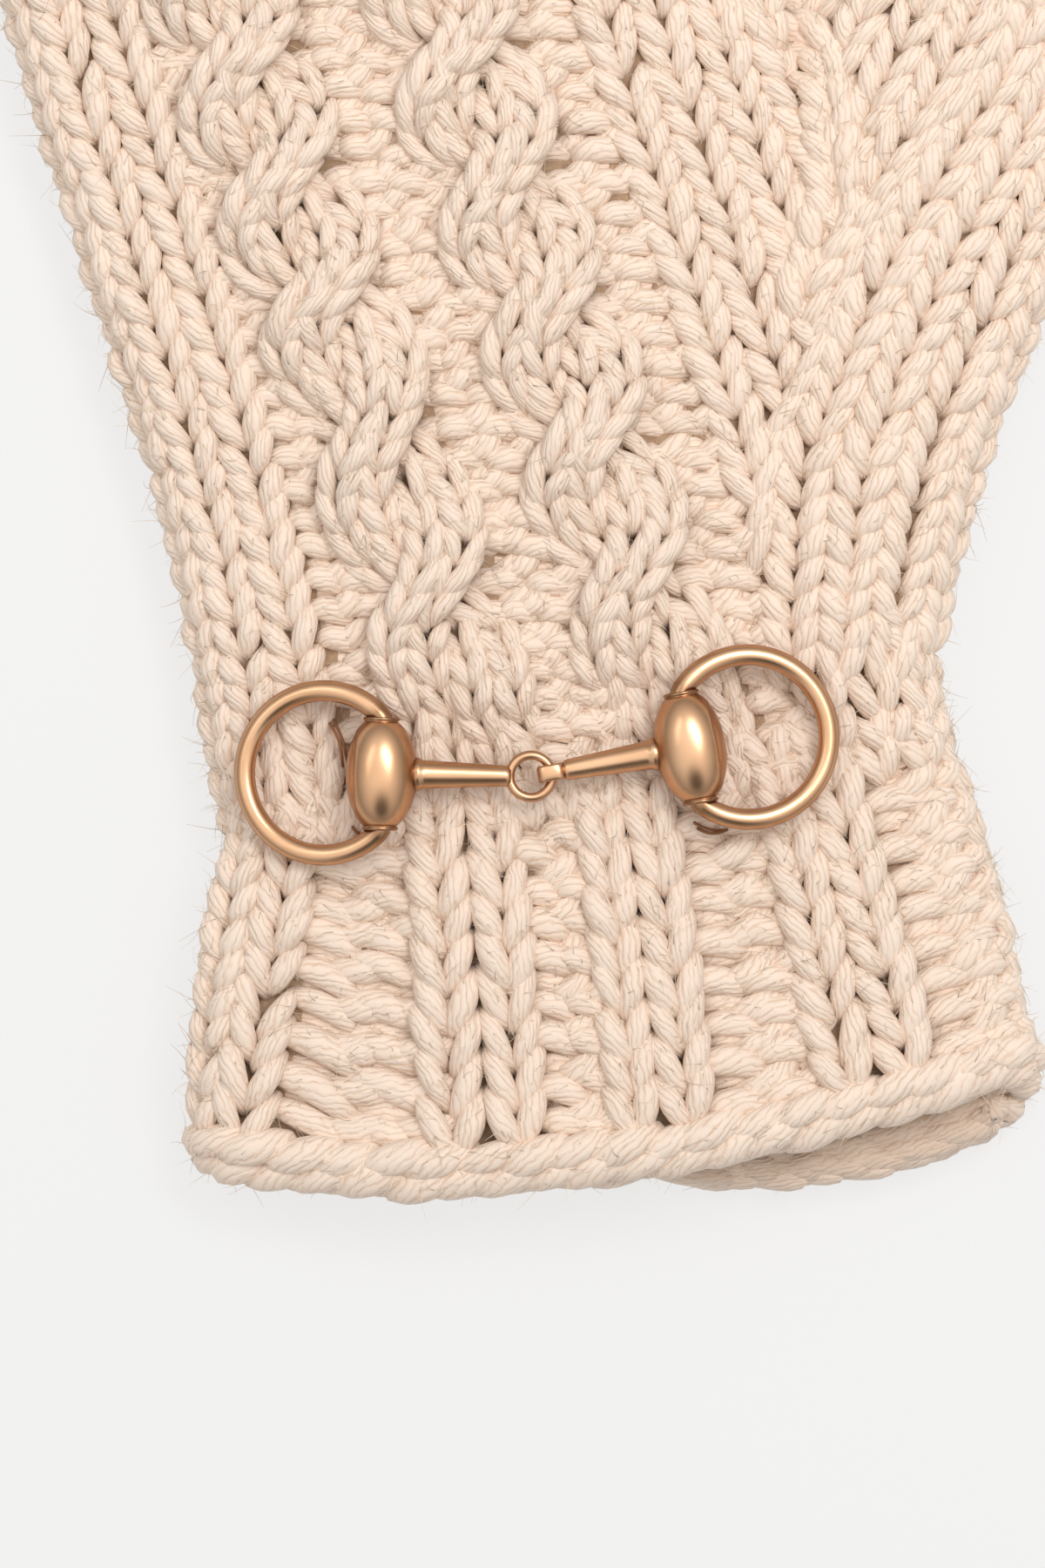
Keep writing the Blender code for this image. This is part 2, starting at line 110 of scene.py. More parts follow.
def turns(count):
    # equal angles once round a circle: 2 pi k / count
    return 2 * math.pi * np.arange(count) / count


def forwardOf(across):
    # the plan direction along a tube, a quarter turn on from the one across it: (-y, x)
    return np.stack([-across[..., 1], across[..., 0]], -1)


def planTube(rows, lift=0.0):
    # A tube from its plan's rows. along is each row's distance from the first, through the middles.
    rows = np.array(rows, float)
    middles = (rows[:, 0:2] + rows[:, 2:4]) / 2
    along = np.concatenate([[0.0], np.cumsum(np.linalg.norm(np.diff(middles, axis=0), axis=1))])
    return {"rows": rows, "along": along, "length": along[-1], "lift": lift,
            "hem": None, "joined": None}


def tubeFrame(tube, t):
    # Cubic curve through the plan's rows, read at distance t along the tube and straight on beyond
    # its ends: gives the row's middle, its direction to the right, its half width, thickness and
    # dome. Between rows b and c, with u from 0 to 1, it is half of
    # 2b + (c - a) u + (2a - 5b + 4c - d) u^2 + (3b - a - 3c + d) u^3.
    rows, along = tube["rows"], tube["along"]
    inside = np.clip(t, 0.0, tube["length"])
    low = np.clip(np.searchsorted(along, inside, side="right") - 1, 0, len(rows) - 2)
    share = ((inside - along[low]) / (along[low + 1] - along[low]))[..., None]
    a, b, c, d = (rows[np.clip(low + step, 0, len(rows) - 1)] for step in (-1, 0, 1, 2))
    row = 0.5 * (2 * b + (c - a) * share + (2 * a - 5 * b + 4 * c - d) * share ** 2
                 + (3 * b - a - 3 * c + d) * share ** 3)
    span = row[..., 2:4] - row[..., 0:2]
    half = np.linalg.norm(span, axis=-1) / 2
    across = span / (2 * half[..., None])
    onward = forwardOf(across) * (t - inside)[..., None]
    return (row[..., 0:2] + row[..., 2:4]) / 2 + onward, across, half, row[..., 4], row[..., 5]


def tubePoint(tube, s, t, h):
    # Point at distance s round the tube from the middle of its back, t along it and h above it,
    # with its normal. In section the back is a low dome, each side a half circle, the palm flat.
    middle, across, half, thick, dome = tubeFrame(tube, t)
    radius = thick / 2
    core = half - radius
    turn = math.pi * radius
    side, reach = np.where(s < 0, -1.0, 1.0), np.abs(s)
    onBack, onPalm = reach <= core, reach >= core + turn
    angle = np.clip(math.pi / 2 - (reach - core) / radius, -math.pi / 2, math.pi / 2)
    x = np.where(onBack, reach, np.where(onPalm, 2 * core + turn - reach,
                                         core + radius * np.cos(angle)))
    z = np.where(onBack, thick + dome * (1 - (reach / core) ** 2),
                 np.where(onPalm, 0.0, radius * (1 + np.sin(angle))))
    normalX = np.where(onBack, 2 * dome * reach / core ** 2, np.where(onPalm, 0.0, np.cos(angle)))
    normalZ = np.where(onBack, 1.0, np.where(onPalm, -1.0, np.sin(angle)))
    size = np.hypot(normalX, normalZ)
    x, normalX, normalZ = x * side, side * normalX / size, normalZ / size
    plan = middle + across * x[..., None]
    if tube["hem"]:
        plan = plan + forwardOf(across) * tube["hem"](x / half, z / (thick + dome), t)[..., None]
    normal = np.concatenate([across * normalX[..., None], normalZ[..., None]], -1)
    point = np.concatenate([plan, (z + tube["lift"])[..., None]], -1)
    depth = np.maximum(h, -0.85 * radius)      # never past the tube's core
    return point + normal * depth[..., None], normal


def tubeSpan(tube, t):
    # Half the tube's width, its distance round from the middle of the back to the fold, and right
    # round: 4 core + pi thick, its core being what lies between its two round sides, halved.
    half, thick = tubeFrame(tube, t)[2:4]
    core = half - thick / 2
    return half, core + math.pi * thick / 4, 4 * core + math.pi * thick


# Where hand and thumb share one back, its height is a soft maximum of the two, kept on a grid.
sharedBack = {
    "start": (-90.0, -80.0),
    "step": 1.0,
    "shape": (190, 210),
    "softness": 0.8,
    "from": -9.0,                 # below the wrist
    "samples": 260,
    "handEdge": (37.0, 50.0),     # round the hand it ends here, at the wrist and further up
    "thumbEdge": 22.0,            # and here round the thumb
}


def backHeight(tube, spots):
    # Height of the tube's back over plan points, worked out on the row through each point. It
    # falls away beside the back, and is far below beyond the ends.
    t = np.linspace(sharedBack["from"], tube["length"], sharedBack["samples"])
    middle, across = tubeFrame(tube, t)[:2]
    forward = forwardOf(across)
    ahead = spots @ forward.T - (middle * forward).sum(1)
    index = np.clip((ahead > 0).sum(1) - 1, 0, len(t) - 2)
    order = np.arange(len(spots))
    near, far = ahead[order, index], ahead[order, index + 1]
    place = t[index] + (t[1] - t[0]) * np.clip(near / (near - far + 1e-9), 0, 1)
    middle, across, half, thick, dome = tubeFrame(tube, place)
    reach = np.abs(((spots - middle) * across).sum(1))
    radius = thick / 2
    core = half - radius
    drop = np.clip(reach - core, 0, radius)
    z = np.where(reach <= core, thick + dome * (1 - (reach / core) ** 2),
                 radius + np.sqrt(radius ** 2 - drop ** 2))
    z = np.where(reach > half, radius - 3 * (reach - half), z) + tube["lift"]
    return np.where((ahead[:, 0] < 0) | (ahead[:, -1] > 0), -60.0, z)


handTube, cuffTube = planTube(handRows), planTube(cuffRows)
thumbTube = planTube(thumbRows, lift=0.4)
thumbCrotch = thumbTube["along"][crotchRow]
cuffLength = cuffTube["length"]

gridStart, gridStep, gridShape = (sharedBack[key] for key in ("start", "step", "shape"))
gridSpots = np.stack(np.indices(gridShape), -1).reshape(-1, 2) * gridStep + gridStart
heights = np.stack([backHeight(tube, gridSpots) for tube in (handTube, thumbTube)])
peak, softness = heights.max(0), sharedBack["softness"]
heights = peak + softness * np.log(np.exp((heights - peak) / softness).sum(0))
heights = heights.reshape(gridShape)


def joinedHeight(plan):
    # Bilinear reading of the shared back's height, with its slope along x and y.
    place = (plan - gridStart) / gridStep
    low = np.clip(np.floor(place).astype(int), 0, np.array(gridShape) - 2)
    share = np.clip(place - low, 0, 1)
    i, j = low[..., 0], low[..., 1]
    u, v = share[..., 0], share[..., 1]
    a, b, c, d = heights[i, j], heights[i + 1, j], heights[i, j + 1], heights[i + 1, j + 1]
    z = a * (1 - u) * (1 - v) + b * u * (1 - v) + c * (1 - u) * v + d * u * v
    slopeX, slopeY = (b - a) * (1 - v) + (d - c) * v, (c - a) * (1 - u) + (d - b) * u
    return z, slopeX / gridStep, slopeY / gridStep


def handJoined(s, t):
    # Share of the hand's cloth laid over the shared back: 1 on its thumb side up to the crotch.
    low, high = sharedBack["handEdge"]
    edge = low + (high - low) * ease(t, 10.0, 24.0)
    return ease(s, -5.0, 5.0) * (1 - ease(t, 74.0, 88.0)) * (1 - ease(s, edge - 3, edge + 3))


def thumbJoined(s, t):
    # the same for the thumb: 1 on its side of the hand up to the crotch
    edge = 12.0 - 4.0 * ease(t, 8.0, 22.0)
    far = sharedBack["thumbEdge"]
    free = ease(t, thumbCrotch - 3.0, thumbCrotch + 11.0)
    return (1 - ease(s, edge - 8, edge)) * (1 - free) * (1 - ease(-s, far - 2, far + 4))


hem = {"bow": 7.4, "palmShows": 7.0}


def cuffHem(acrossShare, heightShare, t):
    # The cast-on edge bows out in the middle, and the palm's edge shows past it on the thumb side:
    # -fade (bow (1 - across^2) + palmShows ease(across) (1 - height)).
    fade = 1 - ease(t, 0.0, cuffLength)
    palm = hem["palmShows"] * ease(acrossShare, -0.2, 0.7) * (1 - heightShare)
    return -fade * (hem["bow"] * (1 - acrossShare ** 2) + palm)


handTube["joined"], thumbTube["joined"], cuffTube["hem"] = handJoined, thumbJoined, cuffHem


def knitPoint(tube, s, t, h=0.0):
    # tubePoint, but laid over the shared back where the hand and the thumb's gusset are one cloth:
    # tubePoint (1 - share) + (plan point, shared height + h) share.
    t = np.minimum(t, tube["length"] - 0.4) if tube["joined"] else t
    h = h + np.zeros_like(t)
    point, normal = tubePoint(tube, s, t, h)
    if tube["joined"]:
        share = tube["joined"](s, t)[..., None]
        middle, across = tubeFrame(tube, t)[:2]
        plan = middle + across * s[..., None]
        z, slopeX, slopeY = joinedHeight(plan)
        flatNormal = unit(np.stack([-slopeX, -slopeY, np.ones_like(z)], -1))
        flat = np.concatenate([plan, z[..., None]], -1) + flatNormal * h[..., None]
        point = point * (1 - share) + flat * share
        normal = unit(normal * (1 - share) + flatNormal * share)
    return point, normal


def ringQuads(rings, around, loop=False):
    # corners of the quads between rings of points that follow each other, point k of ring j being
    # number j around + k
    j, k = np.arange(rings if loop else rings - 1)[:, None], np.arange(around)[None, :]
    nextJ, nextK = (j + 1) % rings * around, (k + 1) % around
    j = j * around
    return np.stack(np.broadcast_arrays(j + k, nextJ + k, nextJ + nextK, j + nextK),
                    -1).reshape(-1, 4)


def fan(pole, first, around):
    # triangles from a pole to the ring of points that starts at number first
    ring = first + np.arange(around)
    return np.stack([np.full(around, pole), ring, np.roll(ring, -1)], -1)


def newMesh(name, points, quads, triangles, uv=None, values=None, material=None):
    # Puts whole arrays into a mesh: quads first, then triangles. uv is one pair for each corner.
    mesh = bpy.data.meshes.new(name)
    corners = np.concatenate([quads.ravel(), triangles.ravel()]).astype(np.int32)
    sizes = np.concatenate([np.full(len(quads), 4), np.full(len(triangles), 3)])
    starts = np.concatenate([[0], np.cumsum(sizes)[:-1]]).astype(np.int32)
    mesh.vertices.add(len(points))
    mesh.vertices.foreach_set("co", (np.asarray(points, np.float32) * mm).ravel())
    mesh.loops.add(len(corners))
    mesh.loops.foreach_set("vertex_index", corners)
    mesh.polygons.add(len(sizes))
    mesh.polygons.foreach_set("loop_start", starts)
    mesh.update(calc_edges=True)
    if uv is not None:
        layer = mesh.uv_layers.new(name="yarn")
        layer.data.foreach_set("uv", np.asarray(uv, np.float32).ravel())
    for key, data in (values or {}).items():
        layer = mesh.attributes.new(key, "FLOAT", "POINT")
        layer.data.foreach_set("value", np.asarray(data, np.float32))
    mesh.shade_smooth()
    piece = bpy.data.objects.new(name, mesh)
    bpy.context.scene.collection.objects.link(piece)
    if material:
        mesh.materials.append(material)
    return piece


fuzzFrom = []


def strandPieces(material, *pieces):
    # one piece for each name, its strands and which of the gauge's numbers of sides they have
    return [strandMesh(name, strands, gauge[sides], material) for name, strands, sides in pieces]


def strandMesh(name, strands, sides, material, fuzzy=True):
    # A round tube carried along every strand at once. Ring j of a strand stands square to it with
    # point k at angle 2 pi k / sides from its underside, and each end closes on a pole.
    paths, normals, radii, tones, creaseShades = (np.concatenate([strand[i] for strand in strands])
                                             for i in range(5))
    count, steps = radii.shape
    paths[..., 2] = np.maximum(paths[..., 2], radii)     # what lies on the table is pressed flat
    if fuzzy:
        fuzzFrom.append((paths, normals, radii))
    along = unit(np.gradient(paths, axis=1))
    sideways = unit(np.cross(along, normals))
    up = np.cross(sideways, along)
    angle = turns(sides) - math.pi / 2
    ring = sideways[:, :, None] * np.cos(angle)[:, None] + up[:, :, None] * np.sin(angle)[:, None]
    rings = paths[:, :, None] + ring * radii[:, :, None, None]
    poles = np.stack([paths[:, 0] - along[:, 0] * radii[:, :1] * 0.7,
                      paths[:, -1] + along[:, -1] * radii[:, -1:] * 0.7], 1)
    points = np.concatenate([rings.reshape(count, -1, 3), poles], 1)
    each = steps * sides + 2
    start = each * np.arange(count)[:, None, None]
    quad = ringQuads(steps, sides)
    caps = np.concatenate([fan(each - 2, 0, sides),
                           fan(each - 1, (steps - 1) * sides, sides)[:, [0, 2, 1]]])
    length = np.concatenate([np.zeros((count, 1)), np.cumsum(
        np.linalg.norm(np.diff(paths, axis=1), axis=2), axis=1)], 1) + 50 * rng.random((count, 1))
    # u is the length along the strand, v the share of the way round it
    v, nextV, halfV = ((np.arange(sides) + step) / sides for step in (0, 1, 0.5))
    u, nextU, ends = length[:, :-1, None], length[:, 1:, None], length[:, [0, -1], None]
    quadUv, capUv = (np.stack(np.broadcast_arrays(*corners), -1).reshape(-1, 2) for corners in (
        (u, v, nextU, v, nextU, nextV, u, nextV), (ends, halfV, ends, v, ends, nextV)))
    tone = np.repeat(tones, each)
    # painted shade and light: each ring's underside is marked darker and its top lighter
    creaseShade = np.concatenate([(creaseShades[:, :, None] - 0.16 * np.sin(angle)).reshape(count, -1),
                             creaseShades[:, [0, -1]]], 1).ravel()
    return newMesh(name, points.reshape(-1, 3), (start + quad).reshape(-1, 4),
                   (start + caps).reshape(-1, 3), np.concatenate([quadUv, capUv]),
                   {"tone": tone, "creaseShade": creaseShade}, material)


# One stitch's strands: from and to across the column, from and to up its rows, how far each bows
# halfway, its middle's height over the cloth in mm and how far its ends dip, and how thick its ends
# are beside its middle.
strandColumns = ("across", "rows", "bow", "height", "ends")
stitchTable = {
    "knit": (((0.02, 0.49), (-0.2, 1.54), (0.02, 0.0), (-1.0, 2.3), 0.42),
             ((-0.02, -0.49), (-0.2, 1.54), (-0.02, 0.0), (-1.0, 2.3), 0.42)),
    "cable": (((0.03, 0.45), (-0.2, 1.5), (0.03, 0.0), (-0.9, 2.1), 0.4),
              ((-0.03, -0.45), (-0.2, 1.5), (-0.03, 0.0), (-0.9, 2.1), 0.4)),
    "purl": (((-0.56, 0.5), (0.5, 0.0), (0.0, 0.26), (-1.4, 1.6), 0.5),
             ((0.0, 1.0), (0.62, 1.1), (0.0, -0.2), (-1.6, 1.6), 0.5)),
    "cord": (((-0.2, 0.2), (-0.3, 2.1), (0.0, 0.0), (-0.75, 2.2), 0.5),),
}
stitchKinds = {kind: [dict(zip(strandColumns, strand)) for strand in strands]
               for kind, strands in stitchTable.items()}


def columnStrands(tube, s, t, width, kind, startT, stopT, lift=0.0, crown=0.0, axis=None,
                  keep=None, rowsAt=None, radius=None, steps=None, phase=0.0):
    # Strands of one knitted column. The column's middle line is s(t); each strand point is put at
    # its own rows further along it and its own columns off it, square to it, at the strand's height
    # + lift - crown offset^2. Rows stand at equal steps up the plan, or along the tube where rowsAt
    # says so, and keep(point) says which of them are made.
    steps = steps or gauge["steps"]
    radius = radius or gauge["yarnRadius"]
    width = np.broadcast_to(width, t.shape)
    lift = lift + np.zeros_like(t)
    axis = s if axis is None else axis
    slope = np.gradient(s, t)
    rising = t if rowsAt == "tube" else knitPoint(tube, s, t)[0][:, 1]
    rows = gauge["rowHeight"] * (np.arange(-40, 60) + phase)
    rows = rows[(rows > np.interp(startT, t, rising)) & (rows < np.interp(stopT, t, rising))]
    if len(rows) < 2:
        return []
    rowT = np.interp(rows, rising, t)
    if keep is not None:
        rowT = rowT[keep(knitPoint(tube, np.interp(rowT, t, s), rowT)[0])]
        if not len(rowT):
            return []
    stepT = gauge["rowHeight"] / np.interp(rowT, t, np.gradient(rising, t))
    count = len(rowT)
    strays = np.array(gauge["stray"])[:, None] * gauge["unevenness"]
    found = []
    place = np.linspace(0, 1, steps)
    arch = np.sin(math.pi * place)
    for strand in stitchKinds[kind]:
        across, rowsOn = (strand[key][0] + (strand[key][1] - strand[key][0]) * place + bow * arch
                          for key, bow in zip(("across", "rows"), strand["bow"]))
        height = strand["height"][0] - strand["height"][1] * (2 * place - 1) ** 2
        thick = strand["ends"] + (1 - strand["ends"]) * arch ** 0.6
        jitter = rng.normal(size=(count, 4, 1)) * strays
        along = rowT[:, None] + (rowsOn + jitter[:, 0]) * stepT[:, None]
        middle = np.interp(along, t, s)
        lean = np.interp(along, t, slope)
        spread = (across + jitter[:, 1]) * np.interp(along, t, width)
        tilt = np.sqrt(1 + lean ** 2)
        x, y = middle + spread / tilt, along - spread * lean / tilt
        offset = x - np.interp(along, t, axis)
        h = height + jitter[:, 2] + np.interp(along, t, lift) - crown * offset ** 2
        path, normal = knitPoint(tube, x, y, h)
        size = radius * thick * (1 + jitter[:, 3])
        # painted crease shade: a deeper tan where the strand dips into the cloth
        creaseShade = np.broadcast_to(np.clip(-0.3 - height / 4, 0, 1), size.shape)    # darker when deep
        found.append((path, normal, size, rng.random(count), creaseShade))
    return found


def purlStrands(top, under, tube, s, t, width, startT, stopT, lift, radius, rowsAt=None):
    # a purl column, and a deeper one half a row on that closes what shows between its bumps
    for strands, phase, deeper in ((top, 0.0, 0.0), (under, 0.5, 1.5)):
        strands.extend(columnStrands(
            tube, s, t, width, "purl", startT, stopT, lift=lift - deeper, rowsAt=rowsAt,
            radius=radius, phase=phase))


def palmStrands(tube, t, first, count, stop, lift, keep):
    # Equal knit columns over the palm of a tube, from the fold at distance first, going round.
    perimeter = tubeSpan(tube, t)[2]
    arc, onward = perimeter / 2, -1 if first[0] < 0 else 1
    found = []
    for index in range(count):
        share = (index + 0.5) / count
        s = first + onward * arc * share - onward * (perimeter if share > 0.5 else 0)
        found += columnStrands(tube, s, t, arc / count, "knit", 0.0, stop,
                               steps=gauge["palmSteps"], lift=lift, keep=keep)
    return found


def tipStrands(tube, count, bulge, radius):
    # Strands drawn in over a tube's closed end. Point at angle a from the palm round to the back:
    # the last row's middle + across x + forward (bulge cos a - 1), at half its thickness
    # (1 + sin a).
    middle, across, half, thick, dome = tubeFrame(tube, np.array(tube["length"] - 0.5))
    place = np.linspace(0, 1, gauge["steps"])
    angle = math.pi * (place - 0.5) * 0.94
    side = np.linspace(-0.9, 0.9, count)[:, None]
    x = half * side + 1.3 * (place - 0.5)
    ahead = bulge * np.cos(angle) * np.sqrt(1.05 - side ** 2) - 1.0
    forward = forwardOf(across)
    plan = middle + across * x[..., None] + forward * ahead[..., None]
    z = tube["lift"] + (thick + dome) / 2 * (1 + np.sin(angle)) + 0 * x
    normal = np.concatenate([forward * np.cos(angle)[:, None], np.sin(angle)[:, None]], -1)
    size = radius * (0.6 + 0.4 * np.sin(math.pi * place)) + 0 * x
    path = np.concatenate([plan, z[..., None]], -1)
    # a light painted crease shade over the tip
    return [(path, np.broadcast_to(normal, path.shape), size, rng.random(count),
             np.full(size.shape, 0.08))]


frameScale = 0.103    # mm on the mitten for each point of the picture frame
frameMiddle = (640, 260)


def viewPoint(u, v):
    # plan position of a point of the picture frame: scale (u - middle, middle - v)
    u, v = np.broadcast_arrays(np.asarray(u, float), np.asarray(v, float))
    return np.stack([u - frameMiddle[0], frameMiddle[1] - v], -1) * frameScale


def lineX(line, y):
    # x of a plan line at height y
    return np.interp(y, line[:, 1], line[:, 0])


# In plan, x and y: the raised line along the gusset, and where the hand's columns meet the thumb's.
gussetLine = np.array([(23.7, -60.0), (23.7, -40.0), (24.2, -28.0), (33.0, -7.2),
                       (39.1, 4.1), (47.0, 15.0), (53.0, 26.0)])
crotchSplit = np.array([(23.7, -60.0), (23.7, -40.0), (24.2, -28.0), (33.0, -7.2),
                        (31.5, 8.0), (29.8, 24.0), (30.2, 32.0)])

cables = {
    "swing": 4.6,             # how far a strand swings from its cable's middle
    "columnWidth": 4.75,
    "shares": ((-0.27, -0.44), (0.27, 0.11)),   # of the half width, at the wrist and the crotch
    # frame heights of each cable's widest places
    "turnsAt": ((940, 768, 592, 402, 275, 137, 0), (915, 745, 575, 425, 280, 130, -10)),
    "turnLength": 14.2,       # beyond those
    "rise": 1.9,
    "roll": 1.75,             # the front strand rises and the back one sinks by this much
    "crown": 0.085,
    "yarnRadius": 1.25,
}


hand = {
    "startAt": -3.8,          # the first rows lie under the cuff's last
    "cableStartAt": -3.0,
    "stopShort": 3.0,         # of the tip
    "leftColumns": 3,
    "rightColumns": 8,
    "palmColumns": 15,
    "valleyRadius": 1.62,
    "valleyLift": (-0.4, -0.3, -0.5),     # left of the cables, between them and right of them
    "waistLift": -0.9,        # beside the cables' narrow places
    "palmLift": -0.35,
    # columns up the join with the gusset: how far off it and how high
    "joinColumns": ((-1.5, 0.5), (-3.8, -1.0), (0.8, -1.2)),
    "joinRadius": 1.65,
    "tipStrands": (7, 3.4, 1.7),          # count, bulge and radius
}


def leftOfSplit(point):
    # plan points on the hand's side of the join: its whole width at the wrist, then up to the line
    x, y = point[:, 0], point[:, 1]
    onHand = x < lineX(crotchSplit, y) + np.where(y > -26, 2.0, 0.8)
    return onHand | (y < -55.5) | ((y < -44) & (x > 41))


def buildHand(material):
    # Columns side by side round the hand, each along its own s(t): from the left fold,
    # -fold + width (index + 1/2), over the valleys and cables and on to the join, then the palm.
    t = np.linspace(-8.0, handTube["length"] + 1, 300)
    half, fold = tubeSpan(handTube, t)[:2]
    begin, stop = hand["startAt"], handTube["length"] - hand["stopShort"]
    share = np.clip(t / crotchAlong, 0, 1)
    narrowing = np.clip(half / 44.0, 0.3, 1.0)
    cableAt = [half * (a + (b - a) * share) for a, b in cables["shares"]]
    cableWidth = cables["columnWidth"] * narrowing
    reach = 2 * cables["columnWidth"] + 0.4
    middle, across = tubeFrame(handTube, t)[:2]
    splitAt = (lineX(crotchSplit, middle[:, 1]) - middle[:, 0]) / across[:, 0] + 1.5
    plain, purl, under, rope = [], [], [], []

    width = gauge["stitchWidth"] * narrowing
    for index in range(hand["leftColumns"]):
        s = -fold + width * (index + 0.5)
        plain += columnStrands(handTube, s, t, width, "knit", begin, stop)

    # purl valleys, left to right: beside the cables, at their waists, between them, beyond them
    leftLift, betweenLift, rightLift = hand["valleyLift"]
    gapLeft = -fold + hand["leftColumns"] * width
    gapRight = cableAt[0] - reach * narrowing
    valleys = [((gapLeft + gapRight) / 2, np.clip(gapRight - gapLeft, 3.6, 7.5), begin, stop,
                leftLift, hand["valleyRadius"])]
    valleys += [(cableS + side * (reach - 2.4) * narrowing, 5.2 * narrowing, 12.0, 152.0,
                 hand["waistLift"], 1.6) for cableS in cableAt for side in (-1, 1)]
    valleys += [((cableAt[0] + cableAt[1]) / 2 + side * 4.6 * narrowing, 4.8 * narrowing, begin,
                 stop, betweenLift, hand["valleyRadius"]) for side in (-0.5, 0.5)]
    valleyLeft = cableAt[1] + reach * narrowing
    last = valleyLeft + 5.0 * narrowing
    splitEnd = np.where(t < 50, splitAt - 1.0, 99.0) + 14 * (1 - ease(t, 4.0, 9.0))
    valleyWide = np.maximum(np.minimum(last, splitEnd) - valleyLeft, 2.5)
    valleys.append((valleyLeft + valleyWide / 2, valleyWide * 1.1, begin, stop, rightLift,
                    hand["valleyRadius"]))
    for s, wide, startT, stopT, lift, radius in valleys:
        purlStrands(purl, under, handTube, s, t, wide, startT, stopT, lift, radius)

    for index in range(hand["rightColumns"]):
        s = last + width * (index + 0.5)
        plain += columnStrands(handTube, s, t, width, "knit", begin, stop,
                               keep=lambda p: leftOfSplit(p) & (p[:, 2] > 3.0))
    for shift, lift in hand["joinColumns"]:
        plain += columnStrands(handTube, np.clip(splitAt + shift, 20, 47), t, width, "knit", 36.0,
                               80.0, lift=lift, radius=hand["joinRadius"],
                               keep=lambda p: (p[:, 1] > -13) & (p[:, 1] < 23.0))

    # Each cable is two strands of two columns that wind round each other, with the strand in
    # front running from lower left to upper right.
    winding = ease(t, 8.0, 15.0) * (1 - ease(t, 120.0, 160.0))
    for cableS, turnsAt in zip(cableAt, cables["turnsAt"]):
        knots = viewPoint(0, np.array(turnsAt, float))[:, 1]
        y = knitPoint(handTube, cableS, t)[0][:, 1]
        turn = np.interp(y, knots, np.arange(len(knots)))
        beyond = len(knots) - 1 + (y - knots[-1]) / cables["turnLength"]
        angle = math.pi * np.where(y > knots[-1], beyond, turn)
        for strand in (0, math.pi):
            swing = np.cos(angle + strand)
            swing = 0.5 * swing + 0.5 * np.sin(math.pi / 2 * swing)
            middle = cableS + ((1 - winding) * cables["columnWidth"] * math.cos(strand)
                               - winding * cables["swing"] * swing) * narrowing
            lift = winding * (cables["rise"] + cables["roll"] * np.sin(angle + strand))
            for column in (-0.5, 0.5):
                s = middle + column * cableWidth / np.sqrt(1 + np.gradient(middle, t) ** 2)
                rope += columnStrands(handTube, s, t, cableWidth, "cable", hand["cableStartAt"],
                                      stop, lift=lift, crown=cables["crown"], axis=middle,
                                      radius=cables["yarnRadius"])

    plain += tipStrands(handTube, *hand["tipStrands"])
    palm = palmStrands(handTube, t, -fold, hand["palmColumns"], stop, hand["palmLift"],
                       lambda p: (p[:, 0] < lineX(crotchSplit, p[:, 1]) + 4.0)
                       | (p[:, 1] < -55.5))
    return strandPieces(
        material, ("handYarn", plain, "sides"), ("purlYarn", purl, "sides"),
        ("underYarn", under, "underSides"), ("cableYarn", rope, "sides"),
        ("palmYarn", palm, "palmSides"))


thumb = {
    "startAt": -1.0,
    "stopShort": 2.0,
    "tipX": 81.3,             # no strand runs on past here
    "rightColumns": 4,
    "rightRadius": 1.6,
    "leftColumns": 4,
    "palmColumns": 6,
    "palmLift": -0.1,
    "cordLift": 0.15,         # the raised line along the gusset
    "cordRadius": 1.35,
    "tipStrands": (4, 3.0, 1.6),          # count, bulge and radius
}


def insideTip(strands):
    # leaves out each strand that runs on past the thumb's tip
    inside = [strand[0][..., 0].max(1) < thumb["tipX"] for strand in strands]
    return [[part[keep] for part in strand] for strand, keep in zip(strands, inside)]


def gussetPoint(point):
    # plan points between the join with the hand and the raised line, or above the crotch
    x, y = point[:, 0], point[:, 1]
    between = (x > lineX(crotchSplit, y) - 0.6) & (x < lineX(gussetLine, y) - 0.5)
    return (between & (y > -12)) | (y > 26)


